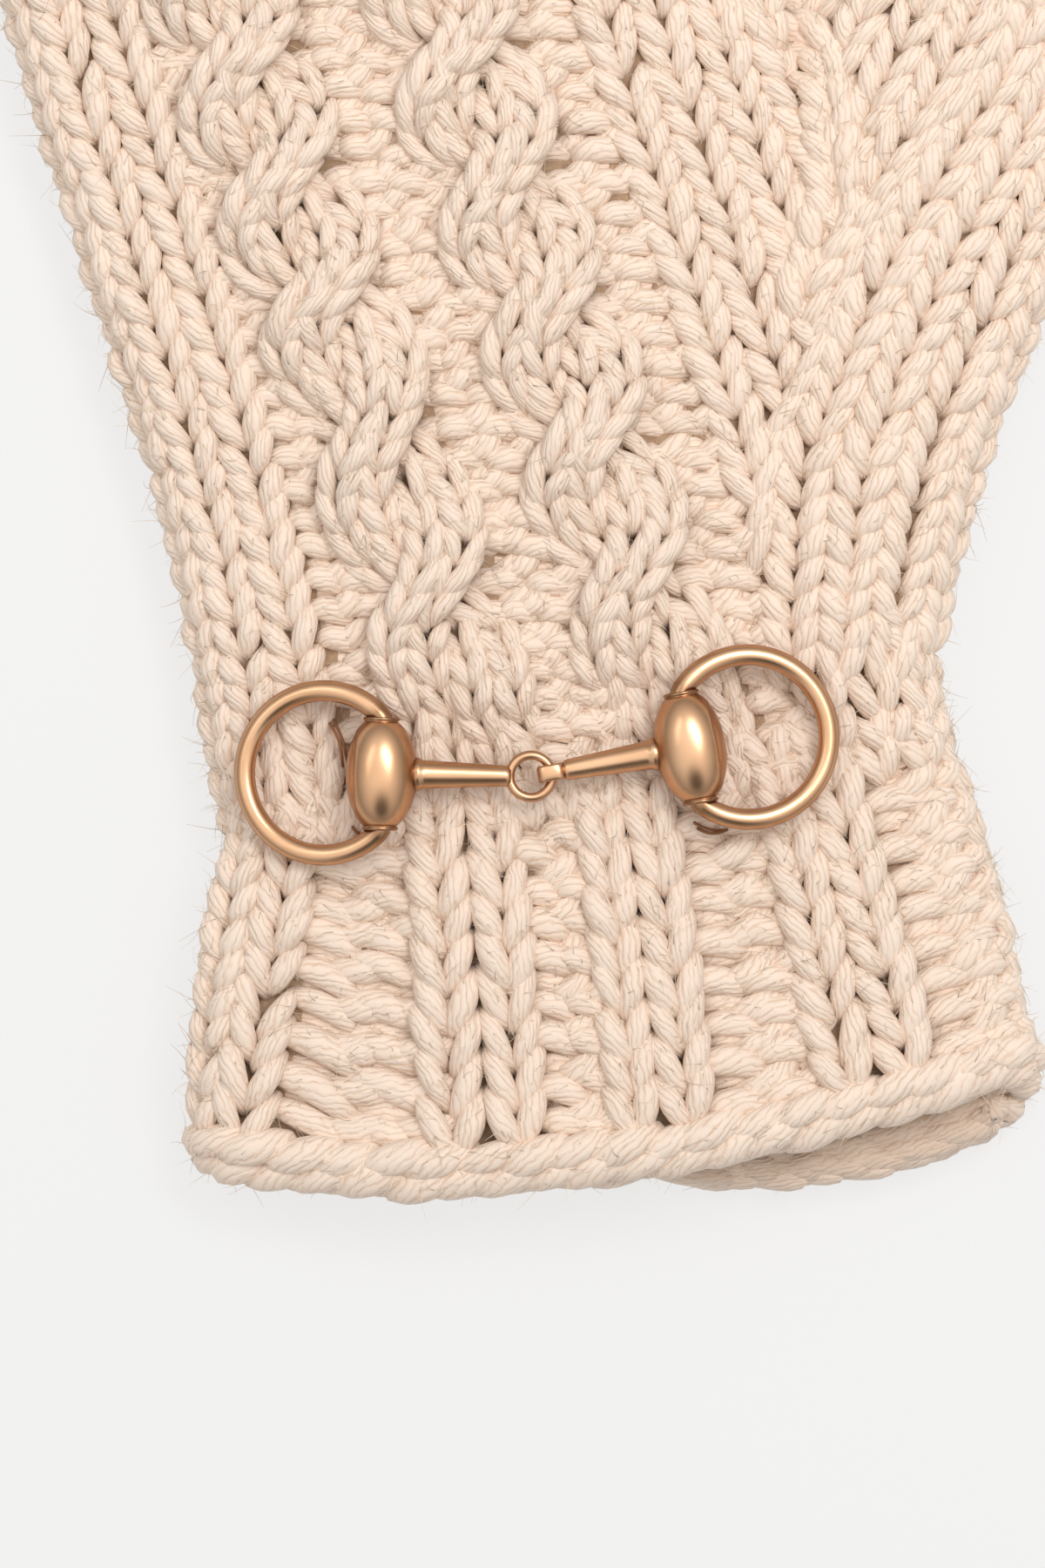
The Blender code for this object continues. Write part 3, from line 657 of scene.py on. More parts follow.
def buildThumb(material):
    # Columns to the right of the gusset's raised line, line + room (index + 0.62), and to its left,
    # line - width (index + 1/2), then the palm.
    t = np.linspace(-5.0, thumbTube["length"] + 1, 240)
    middle, across = tubeFrame(thumbTube, t)[:2]
    fold = tubeSpan(thumbTube, t)[1]
    stop = thumbTube["length"] - thumb["stopShort"]
    # where the raised line crosses each row, as a distance from the row's middle, smoothed
    cross = np.linspace(-30, 30, 241)
    spots = middle[:, None] + across[:, None] * cross[None, :, None]
    beyond = spots[..., 0] - lineX(gussetLine, spots[..., 1])
    lineS = cross[np.argmax(beyond > 0, axis=1)]
    lineS = np.convolve(np.pad(lineS, 6, mode="edge"), np.ones(13) / 13, mode="valid")
    yarn = []
    columns = thumb["rightColumns"]
    room = (fold - lineS) / (columns + 0.12)
    for index in range(columns):
        yarn += columnStrands(thumbTube, lineS + room * (index + 0.62), t, room, "knit",
                              thumb["startAt"], stop, radius=thumb["rightRadius"],
                              keep=lambda p: (p[:, 0] > lineX(gussetLine, p[:, 1]) - 0.5)
                              | (p[:, 1] > 22))
    yarn += columnStrands(thumbTube, lineS + 0.4, t, gauge["stitchWidth"], "cord", 12.0, 88.0,
                          lift=thumb["cordLift"], radius=thumb["cordRadius"])
    leftWidth = np.clip((lineS + fold + 1) / thumb["leftColumns"], 4.0, 6.8)
    for index in range(thumb["leftColumns"]):
        yarn += columnStrands(thumbTube, lineS - leftWidth * (index + 0.5), t, leftWidth, "knit",
                              40.0, stop, keep=gussetPoint)
    yarn = insideTip(yarn) + tipStrands(thumbTube, *thumb["tipStrands"])
    palm = palmStrands(thumbTube, t, fold, thumb["palmColumns"], stop, thumb["palmLift"],
                       lambda p: (p[:, 0] > lineX(crotchSplit, p[:, 1]) + 2.0) | (p[:, 1] > 24))
    return strandPieces(
        material, ("thumbYarn", yarn, "sides"), ("thumbPalmYarn", palm, "palmSides"))


cuff = {
    # each back column's kind and its distance round the tube near the hem and near the wrist
    "columns": [
        ("knit", -48.9, -43.4), ("knit", -42.8, -36.9),
        ("purl", -35.1, -31.2), ("purl", -27.0, -25.2),
        ("knit", -19.4, -18.7), ("knit", -11.9, -11.7),
        ("purl", -6.6, -7.2), ("purl", -3.0, -3.0),
        ("knit", 1.6, 1.2), ("knit", 8.0, 7.2),
        ("purl", 14.0, 12.6), ("purl", 20.0, 17.8),
        ("knit", 26.4, 23.2), ("knit", 33.6, 29.6),
        ("purl", 40.2, 35.9), ("purl", 46.8, 42.0),
    ],
    "hemAt": 11.0,
    "wristAt": 30.0,
    "firstRow": 3.6,
    "knitLift": 0.9,
    "purlLift": -0.3,
    "knitRadius": 1.58,
    "plainBelowWrist": 6.0,
    "pastWrist": 0.8,
    "palmColumns": 16,
    "palmLift": {"knit": -0.2, "purl": -0.9},
    "rimPitch": 5.4,
    "rimStep": 2.8,           # each course starts so far on from the last
    "rimReach": 4.6,
    # cast-on edge: from and to along the tube, height, yarn radius, and whether on the palm alone
    "rimCourses": (
        (0.7, 3.6, -0.4, 2.05, False), (-1.9, 1.2, -1.5, 2.2, False),
        (-2.0, 0.2, -4.2, 1.8, False), (-1.4, 0.6, -5.2, 1.7, True), (1.8, 3.6, -5.0, 1.6, True),
        (4.8, 6.6, -5.0, 1.6, True), (7.8, 9.6, -5.0, 1.6, True)),
}


def buildCuff(material):
    # Ribs on the back, each at hem + (wrist - hem) share, and even ones over the palm.
    t = np.linspace(-3.0, cuffLength + 6.0, 120)
    perimeter = tubeSpan(cuffTube, t)[2]
    stop = cuffLength + cuff["pastWrist"]
    yarn, under, palm = [], [], []
    kinds = [kind for kind, hemS, wristS in cuff["columns"]]
    hemS, wristS = (np.array([column[i] for column in cuff["columns"]]) for i in (1, 2))
    share = (t - cuff["hemAt"]) / (cuff["wristAt"] - cuff["hemAt"])
    lines = hemS[:, None] + (wristS - hemS)[:, None] * np.clip(share, -0.8, 1.5)
    edges = (lines[:-1] + lines[1:]) / 2
    widths = np.concatenate([lines[1:2] - lines[0:1], edges[1:] - edges[:-1],
                             lines[-1:] - lines[-2:-1]])
    ribbed = 1 - ease(t, cuffLength - 8, cuffLength)
    for kind, s, width in zip(kinds, lines, widths):
        lift = cuff[kind + "Lift"] * ribbed
        knitFrom = cuff["firstRow"] - 2.4
        if kind == "purl":    # its last rows, by the wrist, are knit
            knitFrom = cuffLength - cuff["plainBelowWrist"]
            purlStrands(yarn, under, cuffTube, s, t, width * 1.25, cuff["firstRow"], knitFrom,
                        lift, gauge["purlRadius"], rowsAt="tube")
        yarn += columnStrands(cuffTube, s, t, width, "knit", knitFrom, stop, lift=lift,
                              rowsAt="tube", radius=cuff["knitRadius"])
    count = cuff["palmColumns"]
    rest = perimeter - (lines[-1] - lines[0]) - (widths[0] + widths[-1]) / 2
    for index in range(count):
        s = lines[-1] + widths[-1] / 2 + rest * (index + 0.5) / count
        s = s - (perimeter if s[0] > perimeter[0] / 2 else 0)
        kind = "knit" if index % 4 < 2 else "purl"
        palm += columnStrands(cuffTube, s, t, rest / count, kind, cuff["firstRow"], stop,
                              lift=cuff["palmLift"][kind], rowsAt="tube",
                              steps=gauge["palmSteps"])

    # Cast-on edge: long strands that overlap round the hem, in courses.
    whole = float(np.interp(0.0, t, perimeter))
    count = int(whole / cuff["rimPitch"])
    starts = -whole / 2 + whole * np.arange(count) / count
    place = np.linspace(0, 1, gauge["steps"])
    run = np.interp(place, (0, 0.5, 1), (-cuff["rimReach"], 0, cuff["rimReach"]))
    rim = []
    for course, (low, high, height, radius, palmOnly) in enumerate(cuff["rimCourses"]):
        jitter = rng.normal(size=(count, 3, 1)) * gauge["unevenness"]
        s = starts[:, None] + course * cuff["rimStep"] + run + 0.3 * jitter[:, 0]
        s = np.where(s > whole / 2, s - whole, np.where(s < -whole / 2, s + whole, s))
        wraps = np.abs(np.diff(s, axis=1)).max(1) > whole / 2
        kept = ~wraps & ((not palmOnly) | (np.abs(s[:, 3]) > whole / 4 + 4))
        along = low + (high - low) * place + 0.15 * jitter[:, 1] + 0 * s
        h = height - 1.9 * (2 * place - 1) ** 2 + 0.15 * jitter[:, 1] + 0 * s
        path, normal = knitPoint(cuffTube, s, along, h)
        size = radius * (0.5 + 0.5 * np.sin(math.pi * place) ** 0.6) * (1 + 0.06 * jitter[:, 2])
        # painted crease shade, heavier on the palm's courses that lie under the back's hem
        rim.append((path[kept], normal[kept], size[kept], rng.random(kept.sum()),
                    np.full(size[kept].shape, 0.3 if palmOnly else 0.1)))
    return strandPieces(
        material, ("cuffYarn", yarn, "sides"), ("cuffUnderYarn", under, "underSides"),
        ("cuffPalmYarn", palm, "palmSides"), ("castOnEdge", rim, "sides"))


lining = {
    "outer": -2.3,            # depths under the cloth's middle
    "inner": -3.8,
    "cuffOuter": -2.4,
    "cuffInner": -3.7,
}


def tubeShell(name, tube, startT, stopT, outerH, innerH, around, steps, material):
    # Thin wall under the yarn: rings of points round the tube at two depths, joined at the open
    # mouth and closed on a pole at the far end. The cuff's is open at both ends.
    t = np.linspace(startT, stopT, steps)
    share = np.arange(around) / around - 0.5
    s = tubeSpan(tube, t)[2][:, None] * share + 1e-6
    walls = [tubePoint(tube, s, t[:, None] + 0 * s, np.full_like(s, depth))[0]
             for depth in (outerH, innerH)]
    # points run clockwise seen from the far end, so this order faces out
    outer = ringQuads(steps, around)[:, ::-1]
    each, last = steps * around, (steps - 1) * around
    k = np.arange(around)
    mouth = np.stack([k + each, np.roll(k, -1) + each, np.roll(k, -1), k], -1)
    quads = [outer, outer[:, ::-1] + each, mouth]
    points, caps = [wall.reshape(-1, 3) for wall in walls], np.zeros((0, 3), int)
    if tube is cuffTube:
        quads.append(mouth[:, [2, 1, 0, 3]] + last)
    else:
        points += [wall[-1].mean(0)[None] for wall in walls]
        caps = np.concatenate([fan(2 * each, last, around)[:, ::-1],
                               fan(2 * each + 1, last + each, around)])
    return newMesh(name, np.concatenate(points), np.concatenate(quads), caps, material=material)


def newMaterial(name, viewColour):
    # a material, its nodes and its main shader
    material = bpy.data.materials.new(name)
    material.use_nodes = True
    material.diffuse_color = viewColour
    return material, material.node_tree, material.node_tree.nodes["Principled BSDF"]


def setSocket(tree, socket, value):
    # joins a socket to another one's value, or gives it its own
    if hasattr(value, "is_linked"):
        tree.links.new(value, socket)
    elif value is not None:
        socket.default_value = value


def addNode(tree, kind, at, sockets=None, **settings):
    # a node with its settings, and its sockets joined or given values
    node = tree.nodes.new(kind)
    node.location = at
    for key, value in settings.items():
        setattr(node, key, value)
    for key, value in (sockets or {}).items():
        setSocket(tree, node.inputs[key], value)
    return node


def addMath(tree, operation, first, second, at, third=None):
    # the operation on up to three values
    return addNode(tree, "ShaderNodeMath", at, {0: first, 1: second, 2: third},
                   operation=operation).outputs[0]


def addMix(tree, amount, first, second, at):
    # first (1 - amount) + second amount, for two colours
    return addNode(tree, "ShaderNodeMix", at, {6: first, 7: second, 0: amount},
                   data_type="RGBA").outputs[2]


def addNoise(tree, vector, scale, detail, at):
    # cloudy values from 0 to 1, read at vector times scale
    return addNode(tree, "ShaderNodeTexNoise", at,
                   {"Vector": vector, "Scale": scale, "Detail": detail}).outputs["Fac"]


def addValue(tree, name, at):
    # one of the piece's own attributes
    return addNode(tree, "ShaderNodeAttribute", at, attribute_name=name).outputs["Fac"]


def finishShader(tree, shader, colour, height, strength, distance, constants):
    # the surface's colour, its bump and the values that are the same all over it
    bump = addNode(tree, "ShaderNodeBump", (-250, -250),
                   {"Strength": strength, "Distance": distance, "Height": height})
    for key, value in {"Base Color": colour, "Normal": bump.outputs[0], **constants}.items():
        setSocket(tree, shader.inputs[key], value)


def makePliedYarn():
    # Plied yarn on the yarn UV: across = V girth cos(twist) - U sin(twist) counts the plies, and
    # fine fibres are noise drawn out along them.
    tree = bpy.data.node_groups.new("pliedYarn", "ShaderNodeTree")
    for name, value in (("Girth", 10.2), ("Twist", 0.47), ("Ply Width", 0.86), ("Tone", 0.5)):
        socket = tree.interface.new_socket(name, in_out="INPUT", socket_type="NodeSocketFloat")
        socket.default_value = value
    tree.interface.new_socket("UV", in_out="INPUT", socket_type="NodeSocketVector")
    for name in ("Height", "Groove", "Fibre"):
        tree.interface.new_socket(name, in_out="OUTPUT", socket_type="NodeSocketFloat")
    given = addNode(tree, "NodeGroupInput", (-1200, 0)).outputs
    result = addNode(tree, "NodeGroupOutput", (900, 0))

    def plus(first, second, at):
        return addMath(tree, "ADD", first, second, at)

    def times(first, second, at):
        return addMath(tree, "MULTIPLY", first, second, at)

    def drawnNoise(acrossScale, alongScale, detail, y):
        # noise on (across, along, shift), finer across than along
        at = addNode(tree, "ShaderNodeCombineXYZ", (-200, y),
                     {0: times(across, acrossScale, (-300, y)),
                      1: times(along, alongScale, (-300, y - 150)), 2: shift})
        return addNoise(tree, at.outputs[0], 1.0, detail, (0, y))

    split = addNode(tree, "ShaderNodeSeparateXYZ", (-1000, 200), {0: given["UV"]})
    girthwise = times(split.outputs[1], given["Girth"], (-800, 200))
    cosine = addMath(tree, "COSINE", given["Twist"], None, (-1000, 0))
    sine = addMath(tree, "SINE", given["Twist"], None, (-1000, -150))
    across = addMath(tree, "SUBTRACT", times(girthwise, cosine, (-600, 250)),
                     times(split.outputs[0], sine, (-600, 100)), (-400, 200))
    along = plus(times(split.outputs[0], cosine, (-600, -50)),
                 times(girthwise, sine, (-600, -200)), (-400, -50))
    shift = times(given["Tone"], 40.0, (-400, -250))
    wobble = times(drawnNoise(0.5, 0.35, 2.0, -200), 2.2, (150, -200))
    plies = addMath(tree, "DIVIDE", plus(across, wobble, (250, 0)), given["Ply Width"], (350, 100))
    sineWave = addMath(tree, "SINE", times(plies, math.pi, (400, 200)), None, (450, 200))
    groove = addMath(tree, "ABSOLUTE", sineWave, None, (500, 200))
    fibre = drawnNoise(7.0, 0.75, 3.0, -450)
    height = plus(times(groove, 0.75, (600, 100)), times(fibre, 0.7, (600, -100)), (750, 0))
    for name, value in (("Height", height), ("Groove", groove), ("Fibre", fibre)):
        tree.links.new(value, result.inputs[name])
    return tree


wool = {
    "cream": (0.93, 0.765, 0.635, 1),
    # painted shade in the troughs between the plies, with the fibres' own variation
    "fibreAndGrooveShade": (0.66, 0.425, 0.265, 1),
    # painted crease shade: the deeper tan mixed in by the crease shade attribute
    "deep": (0.43, 0.27, 0.165, 1),
    # painted shade: the dark tones of the wall that shows between the stitches
    "lining": ((0.3, 0.185, 0.112, 1), (0.56, 0.4, 0.27, 1)),
    "roughness": 0.92,
    "sheen": 0.35,
    "bump": 0.6,
    "bumpDepth": 0.00022,
}


def makeWool(group):
    # Cream where the plies and fibres stand up. Between them is a warm tan: painted shade in the
    # ply troughs, mixed with the fibres' own variation. Where the strands dip at their ends there
    # is a deep tan of painted crease shade.
    material, tree, shader = newMaterial("creamWool", wool["cream"])
    uv = addNode(tree, "ShaderNodeUVMap", (-1200, 200), uv_map="yarn").outputs[0]
    tone, creaseShade = addValue(tree, "tone", (-1200, 0)), addValue(tree, "creaseShade", (-1200, -250))
    yarn = addNode(tree, "ShaderNodeGroup", (-950, 100), node_tree=group)
    for name, value in (("UV", uv), ("Tone", tone)):
        tree.links.new(value, yarn.inputs[name])
    # painted shade: the ply troughs take the warm tan, the crowns the cream
    grooveShadeMask = addMath(tree, "MULTIPLY", yarn.outputs["Groove"], 0.75, (-750, 300))
    fibres = addMath(tree, "MULTIPLY_ADD", yarn.outputs["Fibre"], 1.4, (-750, 150), -0.22)
    amount = addMath(tree, "ADD", grooveShadeMask, fibres, (-600, 250))
    amount = addMath(tree, "MULTIPLY_ADD", tone, 0.18, (-600, 100), amount)
    colour = addMix(tree, amount, wool["fibreAndGrooveShade"], wool["cream"], (-500, 200))
    # painted crease shade: deep tan where the strands dip and on their undersides
    creaseShadeAmount = addMath(tree, "MULTIPLY", creaseShade, 0.75, (-400, -100))
    finishShader(tree, shader, addMix(tree, creaseShadeAmount, colour, wool["deep"], (-250, 200)),
                 yarn.outputs["Height"], wool["bump"], wool["bumpDepth"], {
                     "Roughness": wool["roughness"], "Sheen Weight": wool["sheen"],
                     "Sheen Roughness": 0.45, "Sheen Tint": (1.0, 0.96, 0.9, 1),
                     "Specular IOR Level": 0.15})
    return material


def makeShadeLining():
    # clouds of two dark wool tones: painted shade for what shows between the stitches
    material, tree, shader = newMaterial("shadeLining", wool["deep"])
    place = addNode(tree, "ShaderNodeTexCoord", (-1000, 0))
    noise = addNoise(tree, place.outputs["Object"], 900.0, 3.0, (-750, 0))
    finishShader(tree, shader, addMix(tree, noise, *wool["lining"], (-450, 100)), noise, 0.6,
                 0.0005, {"Roughness": 1.0, "Specular IOR Level": 0.05})
    return material


pliedYarn = makePliedYarn()
creamWool, shadeLining = makeWool(pliedYarn), makeShadeLining()
handPieces, thumbPieces, cuffPieces = (build(creamWool)
                                       for build in (buildHand, buildThumb, buildCuff))
yarnPieces = (*handPieces, *thumbPieces, *cuffPieces)
print("yarn knitted:", {piece.name: len(piece.data.polygons) for piece in yarnPieces})

fuzz = {
    "count": 7700,         # in each of its pieces
    "pieces": 4,
    "length": (0.9, 3.1),
    "bend": 1.3,
    "radius": 0.05,
    "cuffShare": 1.7,      # how much denser they stand below the wrist and by the metal
    "lowShare": 0.35,      # and how much sparser low down
    "colour": (0.80, 0.63, 0.48, 1),
    "roughness": 0.9,
    "spread": 0.36,
}


def growFuzz(name, material):
    # Loose fibres: each starts on a strand's surface and runs off along a bent random path,
    # start + length (heading x + bend x^2 / 2), thinning to its tip.
    places, outs, runs = [], [], []
    for paths, normals, radii in fuzzFrom:
        middle = slice(1, -1)
        turn = rng.uniform(-1.1, 1.1, radii[:, middle].shape)[..., None]
        along = unit(np.gradient(paths, axis=1))[:, middle]
        sideways = unit(np.cross(along, normals[:, middle]))
        up = np.cross(sideways, along)
        out = up * np.cos(turn) + sideways * np.sin(turn)
        places.append((paths[:, middle] + out * radii[:, middle, None] * 0.93).reshape(-1, 3))
        outs.append(out.reshape(-1, 3))
        runs.append(along.reshape(-1, 3))
    places, outs, runs = np.concatenate(places), np.concatenate(outs), np.concatenate(runs)
    weight = (np.where(places[:, 1] < -52, fuzz["cuffShare"], 1.0)
              * np.where(places[:, 2] > 5, 1.0, fuzz["lowShare"]))
    count = fuzz["count"]
    chosen = rng.choice(len(places), count, replace=False, p=weight / weight.sum())
    start, out, run = places[chosen], outs[chosen], runs[chosen]
    wander = rng.normal(size=(count, 2, 3))
    sign = np.where(rng.random((count, 1)) < 0.5, -1.0, 1.0)
    lean = rng.uniform(0.12, 0.75, (count, 1))
    heading = unit(run * sign * 0.9 + out * lean + 0.45 * wander[:, 0])
    heading = unit(heading + out * np.clip(0.15 - (heading * out).sum(1, keepdims=True), 0, 1))
    bend = unit(wander[:, 1] - 0.4 * out) * fuzz["bend"]
    length = rng.uniform(*fuzz["length"], (count, 1, 1))
    x = np.linspace(0, 1, 4)[None, :, None]
    paths = start[:, None] + length * (heading[:, None] * x + bend[:, None] * x ** 2 * 0.5)
    paths[..., 2] = np.maximum(paths[..., 2], 0.1)
    sizes = np.broadcast_to(fuzz["radius"] * (1.05 - 0.75 * x[..., 0]), (count, 4))
    normals = np.broadcast_to(out[:, None], paths.shape)
    strands = [(paths, normals, sizes, rng.random(count), np.zeros(sizes.shape))]
    return strandMesh(name, strands, 3, material, fuzzy=False)


threads = {
    # each thread's ends in the picture frame, and how far it bows there
    "from": ((378, 829), (383, 826), (404, 948), (794, 942), (797, 948), (764, 806)),
    "to": ((393, 880), (399, 876), (420, 960), (834, 953), (838, 951), (778, 794)),
    "bow": (5, 3, -2, -4, -7, 3),
    "height": 14.6,
    "radius": 0.19,
    "colour": (0.24, 0.095, 0.035, 1),
    "roughness": 0.7,
}


def sewThreads(material):
    # The brown threads that hold each barrel, from it into the wool: start (1 - x) + stop x
    # + side bow sin(pi x), arched up by sin(pi x) and dipping at both ends.
    x = np.linspace(0, 1, 11)[None, :, None]
    start, stop = (viewPoint(*np.array(threads[key]).T) for key in ("from", "to"))
    bow = np.array(threads["bow"])[:, None] * frameScale
    side = unit((stop - start)[:, ::-1] * (-1, 1)) * bow
    paths = start[:, None] * (1 - x) + stop[:, None] * x + side[:, None] * np.sin(math.pi * x)
    height = threads["height"] + np.sin(math.pi * x) - 2.2 * (2 * x - 1) ** 6
    paths = np.concatenate([paths, height + 0 * paths[..., :1]], -1)
    normals = np.broadcast_to(np.array([0.0, 0.0, 1.0]), paths.shape)
    sizes = np.full(paths.shape[:2], threads["radius"])
    strands = [(paths, normals, sizes, rng.random(len(paths)), np.zeros(sizes.shape))]
    return strandMesh("sewingThreads", strands, 8, material, fuzzy=False)


def makeSimple(name, colour, roughness, spread=0.2):
    # one colour, from (1 - spread) to (1 + spread) of it, by each strand's own tone
    material, tree, shader = newMaterial(name, colour)
    low = [value * (1 - spread) for value in colour[:3]] + [1]
    high = [min(value * (1 + spread), 1) for value in colour[:3]] + [1]
    mix = addMix(tree, addValue(tree, "tone", (-700, 0)), low, high, (-400, 100))
    tree.links.new(mix, shader.inputs["Base Color"])
    shader.inputs["Roughness"].default_value = roughness
    return material


looseFibre = makeSimple("looseFibre", fuzz["colour"], fuzz["roughness"], fuzz["spread"])
looseFibres = [growFuzz("looseFibres" + str(index + 1), looseFibre)
               for index in range(fuzz["pieces"])]
brownThread = makeSimple("brownThread", threads["colour"], threads["roughness"])
sewingThreads = sewThreads(brownThread)
print("fuzz and threads grown")

# the walls under the yarn are dark: painted shade between the stitches
handLining = tubeShell("handLining", handTube, -1.4, handTube["length"],
                       lining["outer"], lining["inner"], 96, 60, shadeLining)
thumbLining = tubeShell("thumbLining", thumbTube, 2.0, thumbTube["length"],
                        lining["outer"], lining["inner"], 56, 50, shadeLining)
cuffLining = tubeShell("cuffLining", cuffTube, 0.6, cuffLength + cuff["pastWrist"],
                       lining["cuffOuter"], lining["cuffInner"], 96, 20, shadeLining)
print("linings made")

for piece in (*yarnPieces, handLining, thumbLining, cuffLining, sewingThreads, *looseFibres):
    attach(piece, "mitten")
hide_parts("hand")
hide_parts("thumb")
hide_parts("cuff")


def gridPart(grid, loop):
    # Faces of a surface given as rings of points. The rings close on themselves, and the row of
    # rings closes too where loop is true; otherwise each end closes on its middle point. The sum
    # of a . (b x c) over its triangles says which way they face.
    rings, around = grid.shape[:2]
    quads = ringQuads(rings, around, loop)[:, [0, 3, 2, 1]]
    points, triangles = grid.reshape(-1, 3), np.zeros((0, 3), int)
    if not loop:
        last = (rings - 1) * around
        points = np.concatenate([points, grid[:1].mean(1), grid[-1:].mean(1)])
        triangles = np.concatenate([fan(last + around, 0, around)[:, [0, 2, 1]],
                                    fan(last + around + 1, last, around)])
    corners = np.concatenate([quads[:, [0, 1, 2]], quads[:, [0, 2, 3]], triangles])
    a, b, c = (points[corners[:, i]] for i in range(3))
    if (a * np.cross(b, c)).sum() < 0:
        quads, triangles = quads[:, ::-1], triangles[:, ::-1]
    return points, quads, triangles


def joinParts(parts):
    # one list of points, quads and triangles, each part's numbers moved on past those before it
    starts = np.cumsum([0] + [len(part[0]) for part in parts])
    return (np.concatenate([part[0] for part in parts]),
            *(np.concatenate([part[kind] + start for part, start in zip(parts, starts)])
              for kind in (1, 2)))


snaffle = {
    "leftBarrel": (-20.8, -64.7, 18.1),
    "rightBarrel": (15.7, -61.6, 18.8),
    "eye": (-3.1, -65.0, 17.9),
    "barrelRadius": 4.3,
    "barrelHalf": 6.2,
    "bore": 1.42,
    "wire": 1.25,
    "ringRadius": 9.7,
    "pinHalf": 6.7,
    "leftDrop": 14.0,      # degrees that each ring's far side lies lower
    "rightDrop": 9.0,
    "eggEnd": 6.85,        # where the egg's curve would close
    "armFrom": 2.2,
    "armRadius": (1.85, 1.2),
    "beadAt": 4.35,
    "eyeRadius": 2.5,
    "eyeWire": 0.55,
    "sides": 72,
}


def castPlace(points, barrel, end, tilt=None):
    # Turns local points, +x toward the centre link and y along the barrel, into place: round y by
    # tilt, then round z by angle, then moved to the barrel.
    run = np.array(end) - np.array(barrel)
    angle = math.atan2(run[1], run[0])
    tilt = -math.asin(run[2] / np.linalg.norm(run)) if tilt is None else -math.radians(tilt)
    x = points[..., 0] * math.cos(tilt) + points[..., 2] * math.sin(tilt)
    z = points[..., 2] * math.cos(tilt) - points[..., 0] * math.sin(tilt)
    y = points[..., 1]
    return np.stack([x * math.cos(angle) - y * math.sin(angle) + barrel[0],
                     x * math.sin(angle) + y * math.cos(angle) + barrel[1], z + barrel[2]], -1)


def eggBarrel():
    # Turned egg: radius = full (1 - |y / eggEnd| ^ 2.1) ^ 0.5 about local y, with a small collar at
    # each end, a bore for the ring's pin and a shallow step where the cap meets it on the ring's
    # side.
    half, bore = snaffle["barrelHalf"], snaffle["bore"]
    y = np.sin(np.linspace(-math.pi / 2, math.pi / 2, 61)) * half
    radius = snaffle["barrelRadius"] * (1 - np.abs(y / snaffle["eggEnd"]) ** 2.1) ** 0.5
    collarY = half + np.array([0.0, 0.1, 0.35, 0.46, 0.46, 0.3])
    collarR = np.array([1.95, 2.12, 2.12, 2.0, 1.55, bore])
    y = np.concatenate([y, collarY, np.linspace(half, -half, 9), -collarY[::-1]])
    radius = np.concatenate([np.maximum(radius, collarR[0]), collarR, np.full(9, bore),
                             collarR[::-1]])
    turn = turns(snaffle["sides"])
    x = radius[:, None] * np.cos(turn)
    outside = (radius > 2.2)[:, None]
    step = 1 - 0.04 * ease(-x, 3.0, 3.2) * outside
    grid = np.stack([x * step, y[:, None] + 0 * x, radius[:, None] * np.sin(turn) * step], -1)
    stepLine = 0.3 * outside * np.exp(-((x + 3.1) / 0.2) ** 2)
    recess = np.clip(ease(np.abs(y), 5.95, 6.35)[:, None] + stepLine, 0, 1)
    return gridPart(grid, True), recess.ravel()


def taperArm(stop):
    # Cone along local x from inside the barrel to the eye, with a bead where it leaves the barrel:
    # radius = start + (end - start) share + 0.28 exp(-((x - bead) / 0.35)^2), rounded at its end.
    x = np.linspace(snaffle["armFrom"], stop, 40)
    share = (x - x[0]) / (x[-1] - x[0])
    thick, thin = snaffle["armRadius"]
    radius = thick + (thin - thick) * share
    radius = radius + 0.28 * np.exp(-((x - snaffle["beadAt"]) / 0.35) ** 2)
    radius = radius * np.sqrt(1 - np.clip((x - stop + 0.5) / 0.55, 0, 1) ** 2 * 0.5)
    turn = turns(32)
    grid = np.stack([x[:, None] + 0 * turn, radius[:, None] * np.cos(turn),
                     radius[:, None] * np.sin(turn)], -1)
    recess = np.append(np.repeat(np.exp(-((x - snaffle["beadAt"] + 0.4) / 0.3) ** 2), 32), (0, 0))
    return gridPart(grid, False), recess


def roundEye(centre):
    # Ring in the local x-y plane: reach = eyeRadius + eyeWire cos(section), a little deeper in z.
    turn, section = turns(56), turns(14)
    reach = snaffle["eyeRadius"] + snaffle["eyeWire"] * np.cos(section)
    grid = np.stack([centre + reach * np.cos(turn)[:, None], reach * np.sin(turn)[:, None],
                     1.15 * snaffle["eyeWire"] * np.sin(section) + 0 * turn[:, None]], -1)
    return gridPart(grid, True), np.zeros(56 * 14)


def strapLoop(centre):
    # Flat strap bent round the eye: a rounded box in the local x-z plane, 2 mm wide along y, its
    # outline sign(cos) |cos|^power, sign(sin) |sin|^power.
    turn = turns(48)
    power = 2 / 3.4
    shapeX = np.sign(np.cos(turn)) * np.abs(np.cos(turn)) ** power
    shapeZ = np.sign(np.sin(turn)) * np.abs(np.sin(turn)) ** power
    deep = np.array([1.0, 1.0, 0.75, 0.25, 0.0, 0.0, 0.25, 0.75])
    wide = np.array([-0.7, 0.7, 0.98, 0.98, 0.7, -0.7, -0.98, -0.98])
    x = (1.02 + 0.63 * deep) * shapeX[:, None]
    z = (0.95 + 0.6 * deep) * shapeZ[:, None]
    return gridPart(np.stack([centre + x, wide + 0 * x, z], -1), True), np.zeros(48 * 8)


